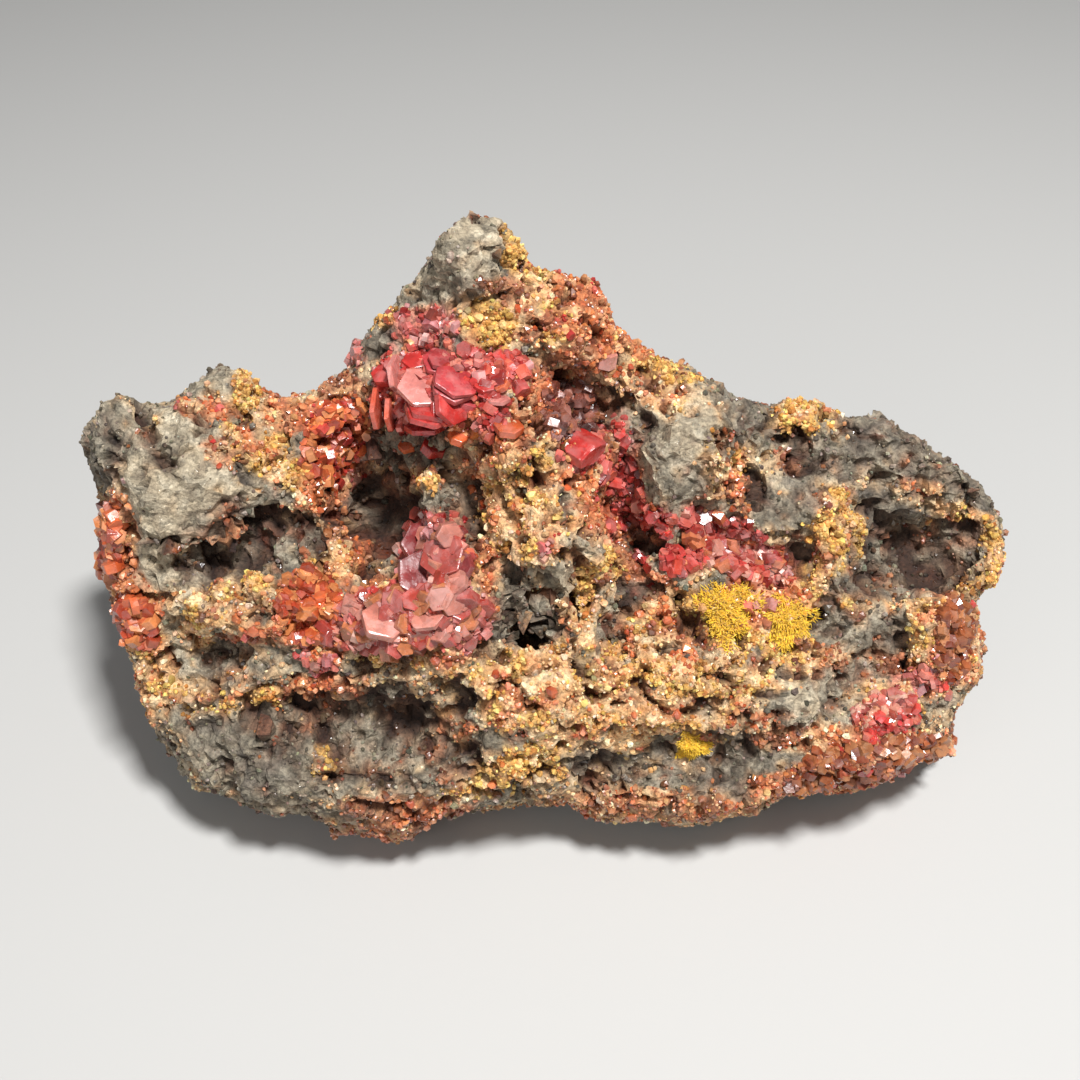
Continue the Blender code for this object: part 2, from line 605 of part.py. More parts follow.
def scattered_crystals(chance, patch, tree):
    """Crystals spread evenly over a patch, leaning every way."""
    right, up, half_width, half_height, turn, count, least, largest, aspect = patch
    cos, sin = math.cos(math.radians(turn)), math.sin(math.radians(turn))
    crystals = []
    for i in range(count):
        reach = math.sqrt((i + 0.4) / count)
        across = half_width * reach * math.cos(GOLDEN_ANGLE * i)
        along = half_height * reach * math.sin(GOLDEN_ANGLE * i)
        u, v = right + across * cos - along * sin, up + across * sin + along * cos
        _, facing = seat(tree, u, v)
        lean = LEAN * Vector([chance.uniform(-1.0, 1.0) for _ in range(3)])
        radius = chance.uniform(least, largest)
        length = radius * aspect * chance.uniform(0.8, 1.3)
        crystals.append((u, v, radius, length, facing + lean, chance.uniform(0.0, 1.0)))
    return crystals


def tuft(row, tree):
    """A low radiating dome."""
    name, right, up, half_width, half_height, height = row
    spot, facing = seat(tree, right, up)
    built = bmesh.new()
    shape = Matrix.Diagonal((half_width * MM, half_height * MM, height * MM, 1.0))
    place = Matrix.Translation(spot) @ frame_along(facing, 0.0)
    bmesh.ops.create_icosphere(built, subdivisions=2, radius=1.0, matrix=place @ shape)
    return object_from(name, built)


def seat_clear_of(grown, rock):
    """Cut a grown piece to the rock that it sits on, with the seat gap between them."""
    cutter = rock.copy()
    cutter.data = rock.data.copy()
    bpy.context.scene.collection.objects.link(cutter)
    points = coordinates(cutter.data) + normals(cutter.data) * SEAT_GAP
    set_coordinates(cutter.data, points)
    boolean(grown, cutter, "DIFFERENCE")
    keep_largest_piece(grown)
    merge_flat_faces(grown)


def grow_everything(rock):
    """All crystal groups and tufts, with their colours."""
    tree = BVHTree.FromObject(rock, bpy.context.evaluated_depsgraph_get())
    chance = random.Random(7)
    grown = [(grow(name, placed_crystals(rows), tree), RED) for name, rows in PLACED.items()]
    for name, colour, patches in GROUPS:
        crystals = [one for patch in patches for one in scattered_crystals(chance, patch, tree)]
        grown.append((grow(name, crystals, tree), colour))
    grown += [(tuft(row, tree), YELLOW) for row in TUFTS]
    for piece, colour in grown:
        seat_clear_of(piece, rock)
        finish = material(piece.name + "_finish", colour, 0.25)
        piece.data.materials.clear()
        piece.data.materials.append(finish)


def main():
    """Build the specimen."""
    clear_scene()
    rock = build_rock()
    grow_everything(rock)
    rock.data.materials.clear()
    rock.data.materials.append(material("ore_rock", (0.34, 0.27, 0.19), 0.85))
    for piece in bpy.context.scene.objects:
        piece.data.transform(Matrix.Translation(-STAND_MIDDLE))


if __name__ == "__main__":
    main()
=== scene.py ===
"""The looks of a vanadinite specimen: its ore rock, sugary crusts, red crystals and yellow tufts."""

import logging
import math
import random
from dataclasses import dataclass
from enum import Enum
from typing import NamedTuple

import bpy
import numpy as np
from mathutils import Matrix, Vector, noise
from mathutils.bvhtree import BVHTree
from mathutils.kdtree import KDTree


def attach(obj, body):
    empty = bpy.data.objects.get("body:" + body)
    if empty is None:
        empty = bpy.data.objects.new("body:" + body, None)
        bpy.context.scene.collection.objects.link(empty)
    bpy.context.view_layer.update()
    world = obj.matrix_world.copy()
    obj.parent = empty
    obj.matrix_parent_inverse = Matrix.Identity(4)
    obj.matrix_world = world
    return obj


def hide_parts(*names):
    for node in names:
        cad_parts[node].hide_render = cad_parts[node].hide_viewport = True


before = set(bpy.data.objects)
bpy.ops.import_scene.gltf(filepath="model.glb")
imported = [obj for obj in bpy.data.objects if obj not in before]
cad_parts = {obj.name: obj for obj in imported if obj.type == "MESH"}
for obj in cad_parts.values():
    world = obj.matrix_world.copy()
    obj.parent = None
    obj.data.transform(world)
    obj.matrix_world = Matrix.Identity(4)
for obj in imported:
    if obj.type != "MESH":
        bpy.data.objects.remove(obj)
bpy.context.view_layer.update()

LOG = logging.getLogger("specimen")
MM = 0.001
ROCK_NODE = "matrix_rock"


# ---------------------------------------------------------------- the view that places things
@dataclass(frozen=True)
class Display:
    """The display face's own plane: right and up in mm, as seen from the eye that looks at it."""

    tilt: float = math.radians(42.0)
    distance: float = 172.0 * MM
    eye: Vector = Vector((-1.6 * MM, -124.7 * MM, 146.5 * MM))

    @property
    def right(self) -> Vector:
        """The plane's rightward direction."""
        return Vector((1.0, 0.0, 0.0))

    @property
    def up(self) -> Vector:
        """The plane's upward direction."""
        return Vector((0.0, math.sin(self.tilt), math.cos(self.tilt)))

    @property
    def out(self) -> Vector:
        """The direction from the specimen to the eye."""
        return Vector((0.0, -math.cos(self.tilt), math.sin(self.tilt)))

    def sight(self, right: float, up: float) -> Vector:
        """The line of sight through a point of the plane.

        Args:
            right: the point's place across, in mm.
            up: the point's place up, in mm.

        Returns:
            A direction of length 1, from the eye.
        """
        across = self.right * (right * MM) + self.up * (up * MM)
        return (across - self.out * self.distance).normalized()

    def place(self, points: np.ndarray) -> tuple[np.ndarray, np.ndarray]:
        """Where points fall on the plane.

        Args:
            points: a row for each point, in metres.

        Returns:
            The points' places across and up, in mm.
        """
        seen = points - np.array(self.eye)
        scale = self.distance / -(seen @ np.array(self.out)) / MM
        return seen @ np.array(self.right) * scale, seen @ np.array(self.up) * scale

    def facing(self, points: np.ndarray, normals: np.ndarray) -> np.ndarray:
        """How squarely a surface faces the eye: 1 straight on, 0 edge on, below 0 behind.

        Args:
            points: a row for each point, in metres.
            normals: the surface's outward normal at each point.

        Returns:
            A value for each point.
        """
        towards = np.array(self.eye) - points
        towards /= np.linalg.norm(towards, axis=1)[:, None]
        return (normals * towards).sum(axis=1)


DISPLAY = Display()


# ---------------------------------------------------------------- the map of the minerals
class Mineral(Enum):
    """What the rock is made of or covered with, and its colours, from common to rare. The dark one
    also stands for painted shade.
    """

    GREY = ((0.21, 0.180, 0.130), (0.34, 0.300, 0.225), (0.10, 0.084, 0.060))
    PALE = ((0.40, 0.330, 0.225), (0.52, 0.450, 0.33), (0.26, 0.205, 0.14))
    # Dark stone, and painted shade in hollows, pits, undercuts and shaded slopes.
    DARK = ((0.095, 0.066, 0.045), (0.16, 0.115, 0.08), (0.045, 0.032, 0.024))
    GOLD = ((0.68, 0.40, 0.10), (0.86, 0.60, 0.20), (0.46, 0.20, 0.04))
    TAN = ((0.80, 0.52, 0.26), (0.96, 0.76, 0.48), (0.60, 0.29, 0.12))
    ORANGE = ((0.56, 0.17, 0.06), (0.74, 0.33, 0.15), (0.36, 0.07, 0.022))
    RUST = ((0.30, 0.10, 0.045), (0.44, 0.19, 0.09), (0.16, 0.05, 0.022))
    RED = ((0.44, 0.045, 0.035), (0.54, 0.11, 0.08), (0.26, 0.02, 0.016))
    PINK = ((0.50, 0.16, 0.13), (0.58, 0.28, 0.25), (0.40, 0.07, 0.055))
    SLATE = ((0.105, 0.090, 0.072), (0.19, 0.168, 0.135), (0.045, 0.038, 0.032))


CRUSTED = (Mineral.GOLD, Mineral.TAN, Mineral.ORANGE, Mineral.RUST)

# What else is found among each mineral, as a share of it.
COMPANIONS: dict[Mineral, dict[Mineral, float]] = {
    Mineral.GREY: {Mineral.PALE: 0.35, Mineral.RUST: 0.20, Mineral.TAN: 0.16, Mineral.DARK: 0.40},
    Mineral.PALE: {Mineral.GREY: 0.50, Mineral.TAN: 0.12},
    Mineral.DARK: {Mineral.GREY: 0.60, Mineral.RUST: 0.35, Mineral.TAN: 0.20, Mineral.ORANGE: 0.20},
    Mineral.GOLD: {Mineral.TAN: 0.60, Mineral.RUST: 0.40, Mineral.ORANGE: 0.30, Mineral.GREY: 0.30},
    Mineral.TAN: {Mineral.GOLD: 0.55, Mineral.ORANGE: 0.42, Mineral.RUST: 0.20, Mineral.GREY: 0.22},
    Mineral.ORANGE: {Mineral.RUST: 0.55, Mineral.TAN: 0.50, Mineral.RED: 0.30, Mineral.GOLD: 0.25},
    Mineral.RUST: {Mineral.ORANGE: 0.55, Mineral.TAN: 0.40, Mineral.GREY: 0.40},
    Mineral.RED: {Mineral.ORANGE: 0.50, Mineral.PINK: 0.35, Mineral.RUST: 0.35},
    Mineral.PINK: {Mineral.RED: 0.40, Mineral.ORANGE: 0.40, Mineral.TAN: 0.25},
    Mineral.SLATE: {Mineral.GREY: 0.55, Mineral.DARK: 0.35, Mineral.RUST: 0.18, Mineral.TAN: 0.12},
}

# How far a mineral comes and goes within its patches, where it isn't as far as the others.
SWINGS: dict[Mineral, float] = {Mineral.DARK: 0.45, Mineral.SLATE: 0.6, Mineral.PALE: 0.6}


class Patch(NamedTuple):
    """An oval of one mineral on the display face: mm right and up, half sizes, turn, weight."""

    right: float
    up: float
    half_width: float
    half_height: float
    turn: float = 0.0
    weight: float = 1.0

    def reach(self, right: np.ndarray, up: np.ndarray) -> np.ndarray:
        """How far out points lie: 0 in the oval's middle, 1 on its edge.

        Args:
            right: the points' places across, in mm.
            up: the points' places up, in mm.

        Returns:
            A value for each point.
        """
        cos, sin = math.cos(math.radians(self.turn)), math.sin(math.radians(self.turn))
        du, dv = right - self.right, up - self.up
        across = (du * cos + dv * sin) / self.half_width
        along = (-du * sin + dv * cos) / self.half_height
        return np.sqrt(across**2 + along**2)


def patches(*rows: tuple[float, ...]) -> tuple[Patch, ...]:
    """Patches from rows of their values; a short row leaves out the weight, or turn and weight."""
    return tuple(Patch(*row) for row in rows)


MINERAL_MAP: dict[Mineral, tuple[Patch, ...]] = {
    Mineral.GREY: patches(
        # the peak
        (-10, 37.5, 7.4, 5.8, 0, 1.2), (-16.5, 33.5, 4.2, 2.1), (0.5, 28, 1.5, 5, 8, 0.9),
        (-21.5, 26.5, 3.2, 2.9, 0, 0.8),
        # the left block
        (-57, 13, 4.5, 6.1), (-43.5, 20.5, 3.4, 2.9), (-41.5, 15, 4, 1.6, 0, 0.8),
        (-36.5, 8, 3.4, 1.2, -30),
        # the left foot
        (-45, -16, 7.4, 5.8, 0, 0.55), (-39.5, -28, 11.1, 5.8, -14),
        # the right end
        (47.5, 12, 8.7, 4.5, -18, 1.1), (55.5, 8, 5.3, 2.4, -22, 1.1), (43, -4, 4, 3.2, 0, 0.9),
        (43.5, -12.5, 5.3, 3.2, 0, 0.8), (52.5, -21, 2.9, 1.9), (41, -18.5, 4.8, 2.4, 0, 0.5),
        # the right half
        (18, 13, 6.1, 4, 0, 0.9), (20, 6.5, 4.2, 4, -40, 1.1), (27, 16.5, 4.8, 4.2, -25, 1.2),
        (39, 11, 6.6, 3.4), (33.5, 5.5, 4.5, 3.2),
        # the cave and the tongue
        (-32, 12.5, 1.9, 2.4, 0, 0.9), (-33, 6, 1.7, 0.9), (-32, -1, 2.6, 1.9),
        (-19.5, 13, 1.7, 1.7, 0, 1.3), (-13, 4.5, 1.9, 3.4, 30, 1.2), (1.5, 11, 3.2, 1.7, -20, 0.9),
        (5.5, -0.5, 3.2, 1.2, -20), (2.5, -5, 2.6, 2.4, -40, 0.9),
        # the apron and the low hollow
        (-32, -36, 8.7, 1.9, -12), (-14.5, -30.5, 4.5, 3.4, 0, 0.8), (-3.5, -9.5, 2, 2.6, -30, 1.4),
        (-18, -16, 1.9, 1.2, 0, 0.8), (35, -22, 4.8, 2, 10, 1.4), (-4.5, -26.5, 6.1, 1.6, 0, 0.9),
        (20, -30, 11.9, 1.7, 6, 0.8),
    ),
    Mineral.PALE: patches(
        # the peak
        (-9.6, 39.6, 4.6, 5.6, -20, 1.7), (-14.5, 34.5, 4.2, 2.6, 40, 0.8),
        # the left block
        (-48, 8, 7.4, 7.4, 0, 1.3), (-44.5, 11, 6.1, 4, 0, 1.1), (-49.5, -4, 4.2, 3.7, -20),
        (-43, 22, 2.1, 1.6),
        # the left foot
        (-48, -13.6, 2.6, 5.4, 10),
        # the right half
        (14.5, 7.5, 1.2, 3.2, 20), (20, 14.5, 4.5, 2.9, 0, 0.7),
    ),
    # Dark stone in part and painted shade in part: hollows, pits, undercuts and shaded slopes.
    Mineral.DARK: patches(
        # the left block
        (-39.5, -1, 10.1, 3.7, 14, 1.3), (-43.4, 1.3, 5.8, 2.4, 32, 2.1),
        (-51.9, 14.6, 0.9, 3.8, 16, 2.4),
        # the left foot
        (-42.5, -15.9, 2.8, 1.6, 10, 2.4), (-42, -15, 3.4, 1.3, 8, 2.4),
        (-42, -18.5, 1.3, 0.8, 0, 2.4), (-37, -10.5, 1.6, 0.8, 0, 2.4),
        # the right end
        (49, -2.6, 8.4, 4.4, -10, 1.8), (47.5, 12, 8.7, 4.5, -18, 0.75),
        (56, 7.5, 5.3, 2.6, -22, 0.75), (44.5, 4, 1.9, 1.1, 0, 2.4), (53, 5.5, 5.3, 0.4, -3, 2.4),
        (48.5, -2.5, 9.8, 4.2, 12, 1.15), (48, -13, 0.9, 3.6, 0, 2.4),
        # the right half
        (13.5, 0, 2.4, 1.9, 0, 2.4), (12.5, -6, 1.9, 3.2, 0, 2.4), (31, 14, 1.6, 1.3, -20, 2.4),
        (28.5, 7, 1.3, 2.5, 10, 2.4), (36.5, 10, 2.6, 0.8, 15, 2.4),
        (34.5, -2.5, 1.5, 2.5, 25, 2.4), (14, 15.5, 1.3, 1.1, 0, 2.4),
        # the cave and the tongue
        (-21.6, 8.4, 4.4, 5.4, 0, 2), (6.4, 18.6, 4.6, 3, -35, 1.4), (-34, 0.4, 8.4, 2.6, -8, 0.9),
        (-23.5, 5.5, 5.3, 8.2, 18, 1.1), (-18, 10.6, 5.6, 3.4, 0, 1.6), (-10.5, 7.5, 2.9, 5.3),
        (5, 20.5, 6.6, 2.4, -34, 0.8), (-4.5, 6.5, 1.2, 1.1, 0, 1.8), (0, 7, 1.6, 1.2, 0, 1.8),
        (-4, 3, 1.3, 1.1, 20, 1.8), (-4, -4.5, 1.3, 1.6, 0, 2.4), (-8.5, 0, 1.5, 1.6, 0, 2.4),
        (3.5, 4, 0.5, 3.7, 8, 2.4), (-32, 2.5, 1.3, 1.6, 0, 0.9),
        # the apron and the low hollow
        (-28.7, -23.6, 9, 4.2, -10, 0.75), (-2.4, -9.4, 2.6, 2.3, 0, 2.4),
        (9.7, -13.2, 2, 2.4, 0, 2.4), (5.3, -15.9, 1.8, 1.4, 0, 2.4),
        (21.7, -22.2, 1.8, 1.5, 0, 2.4), (-22.5, -26, 14.8, 5.8, -8, 1.15),
        (-10.5, -22, 2.4, 3.2, 0, 2.4), (0.5, -10.5, 3.6, 3.4, 0, 1.6),
        (-4, -12.5, 3.2, 1.2, -24, 2.4), (10, -13.5, 1.7, 3, 0, 2.4),
        (17.5, -14.5, 3.4, 0.8, 8, 2.4), (21.5, -22, 2.5, 1.3, 12, 2.4),
        (5, -16.5, 1.1, 0.7, 0, 2.4), (24.5, -18.5, 1.2, 0.8, 0, 2.4),
        (33, -17.5, 1.7, 1.1, 0, 2.4), (38, -11, 1.7, 2.9, 0, 2.4), (24, -27.5, 6.9, 1.9, -4, 0.9),
        (7.5, -30.5, 4.2, 1.9, 0, 0.9), (26.5, -23.5, 1.1, 0.8, 0, 2.4),
        (24, -33, 3.7, 2.1, 0, 0.8), (14.6, -19.6, 1.1, 0.8, 0, 2.2), (2, -20.5, 1, 0.7, 20, 2),
        (30, -20.5, 1.2, 0.8, 10, 2.2), (-14, -21, 1.2, 0.8, 0, 2),
    ),
    Mineral.GOLD: patches(
        # the peak
        (-1.4, 36.2, 2.3, 5.8, 20, 2.3), (-6.5, 28.5, 3.7, 3.4, 0, 1.2),
        (-21.5, 29.5, 2.1, 1.3, 10), (16.5, 22.5, 3.7, 1.3, -25, 1.3),
        # the left block
        (-38.5, 20, 2, 4.5, -38, 1.3), (-36.2, 11.4, 4.2, 2.4, -10, 1.9),
        (-39.6, 15, 2.6, 1.8, 0, 1.4), (-39.5, -5.5, 3.2, 1.9, 0, 0.7),
        # the left foot
        (-38, -21.5, 7.7, 1.3, 8, 0.6), (-45, -10.5, 3.2, 1.3, 0, 0.6),
        # the right end
        (42.5, -8, 4.2, 1.3, -12, 0.8), (50.5, -13.5, 1.7, 2.6, 0, 0.8),
        (59.5, -3, 1.7, 4.5, 0, 0.8),
        # the right half
        (8.5, -3.5, 3.4, 2.6, 0, 0.9), (35.5, 16, 4.5, 2.6, -10, 1.3), (39.5, 1, 3.7, 5.3, 0, 1.9),
        (36.5, -5.5, 2.4, 3.4, 0, 1.6),
        # the cave and the tongue
        (-15, 8, 2, 1.7, -30, 1.4), (-2.5, 5.5, 2.9, 2.9, 0, 1.1), (-28, -2.5, 4, 2.6, 0, 0.6),
        (-32, -8, 2.1, 1.6, 0, 0.5), (0.5, -8, 1.6, 1.1, 0, 0.5),
        # the apron and the low hollow
        (-29, -29.5, 2.6, 2.1, 0, 1.3), (5, -8.5, 1.9, 1.6, 0, 0.9), (20, -10.5, 6.9, 3.4, 0, 0.8),
        (-1.5, -29.5, 5.3, 2.6, 0, 0.8), (-9.5, -32, 3.7, 2.1, 0, 0.7), (20, -27.5, 2.4, 1.3),
        (13, -15, 5.8, 1.6, -8, 0.6),
    ),
    Mineral.TAN: patches(
        # the left foot
        (-50.6, -16.5, 2.2, 5, 15, 1.9), (-45.6, -12, 2, 4, 0, 1.5), (-53, -18.5, 2, 6.9, 6, 1.1),
        (-45, -20, 7.9, 2.9, 0, 0.6), (-43.5, -9, 8.7, 2.6, -4, 0.5),
        # the right end
        (55.5, 3.5, 4, 1.3, -20, 0.7), (55, -6.5, 4, 1.5, 15, 0.9), (53, -13, 4.5, 6.6, 0, 0.9),
        (47.5, -21, 6.6, 2.1, 0, 0.4),
        # the right half
        (16, 19.5, 6.1, 2.1, -25, 0.8), (24, 10.5, 2.9, 6.1, 0, 0.9),
        # the cave and the tongue
        (-4.4, 4, 3.8, 5.8, 0, 1.8), (-2.5, 9.5, 5, 6.4, 0, 0.9), (1, 0, 5.3, 3.7, 0, 0.9),
        (-33.6, 9, 4.4, 3, -20, 1.5),
        # the apron and the low hollow
        (8, -20, 19.8, 6.6, 3, 1.3), (-18.5, -15, 5.3, 1.9, 0, 0.9), (32, -14.5, 7.9, 2.4, -4),
        (16.5, -35, 12.7, 2, 2, 0.6), (21, -20, 7.9, 4, 0, 0.7), (14.5, -30.5, 7.9, 1.1, 5, 0.6),
        (-13, -26.5, 4, 1.3, 0, 0.3),
    ),
    Mineral.ORANGE: patches(
        # the peak
        (5, 29.5, 5.3, 6.4, -16, 1.6), (12.5, 25.5, 3.4, 2.4, -25, 1.2),
        # the left block
        (-41.2, 12.2, 2.8, 2.2, 0, 2), (-44, 17.6, 3.4, 1.6, 0, 1.5),
        (-56.5, -0.5, 2.6, 5.8, 0, 1.3),
        # the left foot
        (-53.5, -9, 2.9, 4.8, 20, 1.2), (-38.5, -13, 5.3, 1.1, 0, 0.5),
        # the right end
        (51, 7, 3.4, 0.8, -10, 1.3), (55.5, -13, 2.4, 5.3, 0, 0.8), (43.5, -30, 11.9, 2.6, 14, 1.5),
        (40.5, -26.5, 5.8, 1.5, 6),
        # the right half
        (15, -7.5, 2.6, 2.6, 0, 0.9), (29.5, -8, 4, 3.2), (25, 5.5, 2.6, 3.4, 0, 0.7),
        (36.5, 5.5, 2.9, 1.2, 0, 0.9), (27, -2.5, 1.9, 1.6, 0, 0.5),
        # the cave and the tongue
        (-29.6, 7.5, 3.6, 4, -20, 1.7), (-32.5, 17, 4.5, 2.4, -10), (-26, -1, 3.4, 4, -20, 0.9),
        (-9, 12, 2.9, 5, 0, 0.9), (7.5, 5.5, 2.6, 4.8, 0, 0.9), (-18.5, -6, 3.7, 1.5, 0, 0.9),
        (-7.5, -3.5, 2.4, 3.2, 0, 0.9), (3.5, 9.5, 1.9, 2.6, 0, 0.6), (0, 16, 3.2, 4, 0, 0.6),
        (-5.5, 11, 3.2, 2.1, 0, 0.8),
        # the apron and the low hollow
        (-31, -9.5, 4, 4, 0, 1.1), (-28, -20, 5.6, 1.6, -4), (-32.5, -20, 4, 1.3, 10, 0.8),
        (-11, -25, 2.6, 1.7, 0, 0.9), (-13, -14, 4, 2.4, 0, 0.8), (30.5, -23.5, 5.3, 0.7, 6, 1.1),
        (6.5, -21, 7.9, 1.6, 6, 0.45), (-28, -13, 3.2, 2.4, 0, 0.8), (-18, -37.5, 5.3, 2.4, 0, 0.5),
        (10.5, -35, 9.3, 1.3, 0, 0.35), (21, -34.5, 5.3, 1.1, 0, 0.3),
        (-3.5, -24, 2.6, 3.2, 0, 0.7), (10.5, -12.5, 1.9, 2.1, 20, 0.9),
    ),
    Mineral.RUST: patches(
        # the peak
        (-2.5, 30, 2.2, 4, 0, 0.9), (-5.5, 33.5, 4, 1.6, 0, 0.6),
        # the right end
        (41, -16, 5.3, 2.1, 0, 0.6), (43.5, -9.5, 2.6, 2.4, 0, 0.4),
        # the right half
        (8, 22, 6.9, 1.7, -24, 0.8), (14, 20.5, 5.8, 1.9, -25, 0.7), (33.5, 11, 2.4, 1.7),
        (9.5, -2.5, 2.6, 3.4, 0, 0.3),
        # the cave and the tongue
        (-26, 20, 3.2, 2), (5, 19.5, 5.8, 2.1, -34, 0.7), (1, 17, 3.4, 4.2, 0, 0.7),
        (-20.5, 8, 3.4, 2.1, 0, 0.6),
        # the apron and the low hollow
        (37.5, -14.5, 3.4, 0.9, 0, 0.8), (34.5, -26, 6.9, 1.3, 4, 0.9), (16, -35, 13, 2.1, 2, 0.8),
        (-18.5, -36.5, 7.9, 2.6, 0, 0.8), (20, -13, 4.8, 2.9, 0, 0.5), (29, -33, 4.5, 1.3, 8, 0.6),
        (-29, -38.5, 4, 1.3, -20, 0.5),
    ),
    Mineral.RED: patches(
        # the peak
        (-5.5, 23, 4.8, 2, -14, 1.2),
        # the right end
        (46.5, -23.5, 3.7, 1.7, 16),
        # the right half
        (11, 8, 2.6, 8.7, 8, 1.5), (14, 2, 2.9, 2.6, 0, 1.3), (13, -4.5, 1.3, 4),
        (25.5, -0.5, 6.9, 2.6, -34, 1.5), (31, -4, 2.9, 2.9, 0, 1.2), (9.5, 13, 3.4, 2.9, 0, 1.1),
        (20, -2.5, 2.9, 1.9, 0, 0.7),
        # the cave and the tongue
        (-15, 20, 6.1, 5.6, 0, 1.5), (-8, 17, 2.9, 3.7, 0, 1.1), (-25.5, 11.5, 2.6, 4.5, -10, 1.3),
        (6, 11.5, 2.9, 2.4), (-29, 16, 3.2, 1.9, 0, 0.8), (-13, 2.5, 3.2, 1.9, 0, 0.9),
        (2.5, 17, 2.4, 2.6, 0, 0.7), (-4.5, 9.5, 2.1, 1.3, 0, 0.5),
        # the apron and the low hollow
        (-6.5, -9.5, 1.9, 2.1, 0, 0.8), (-22.5, -11, 3.2, 2.1, 0, 0.8),
        (-22, -13.5, 2.4, 1.6, 0, 0.6),
    ),
    Mineral.PINK: patches(
        # the peak
        (-16, 28.5, 4.5, 2.4, 10, 0.9), (-24.5, 25, 1.3, 1.9), (6, 24.5, 4, 1.9, -16, 0.5),
        # the right end
        (51, -19, 3.4, 1.9, 10, 1.1), (54, -13, 2.9, 4.8, 0, 0.5), (45, -6.5, 2.6, 1.3, 0, 0.3),
        # the right half
        (29.5, -6.5, 3.2, 2.6, 0, 0.8), (21, 2.5, 2.1, 1.6, 0, 0.5),
        # the cave and the tongue
        (-14, -3, 4.2, 6.4, -6, 1.4), (1.5, -0.5, 4.5, 3.2, 0, 0.5), (2.5, 22, 3.7, 1.9, -20, 0.5),
        (-10.5, 20.5, 3.2, 4, 0, 0.8),
        # the apron and the low hollow
        (-17, -10, 10.3, 4.2, 8, 1.2), (-10, -11.5, 3.4, 3.2, 0, 1.1), (-29, -15, 2.4, 2.1),
    ),
    Mineral.SLATE: patches(
        # the peak
        (-12.2, 26, 1.6, 1.4, 0, 1.7), (-21.5, 26.5, 2.6, 2.2, 0, 1.2),
        # the left block
        (-59, 11.5, 2.6, 5, 0, 1.3), (-38, 8.4, 2.6, 1, -24, 1.6),
        # the left foot
        (-39, -28.5, 8, 3.6, -14, 1.2),
        # the right end
        (40, 11, 5.6, 2.6, -8, 2.1), (48, 12, 8.2, 3.8, -18, 2.4), (56, 7.6, 5, 2.6, -22, 2.4),
        (45, 3.6, 6, 2.6, -8, 1.1), (43.5, -12.5, 4.6, 2.6, 0, 1.1), (44, -6, 4.6, 2.6, 0, 0.9),
        # the right half
        (27.5, 17, 4.2, 3, -40, 1.5), (20.5, 8, 3.6, 2.4, -40, 1.1), (34, 5.5, 4.2, 3, 0, 1.5),
        # the cave and the tongue
        (-32.2, 5.8, 1.8, 1.2, 0, 1.7), (-31.4, -3.1, 2.4, 2, 0, 1.5),
        (-19.5, 13, 1.7, 1.7, 0, 1.7),
        # the apron and the low hollow
        (-3.5, -9.5, 2.2, 2.8, -30, 1.7), (20, -30, 11.9, 1.9, 6, 1.5),
        (24, -33.4, 3.7, 2.1, 0, 1.4), (6, -29.6, 5, 1.6, 4, 1.1),
    ),
}


class Shard(NamedTuple):
    """A block of stone in the rock: mm right and up, half sizes, turn, how proud, which stone."""

    right: float
    up: float
    half_long: float
    half_wide: float
    turn: float
    proud: float
    stone: Mineral


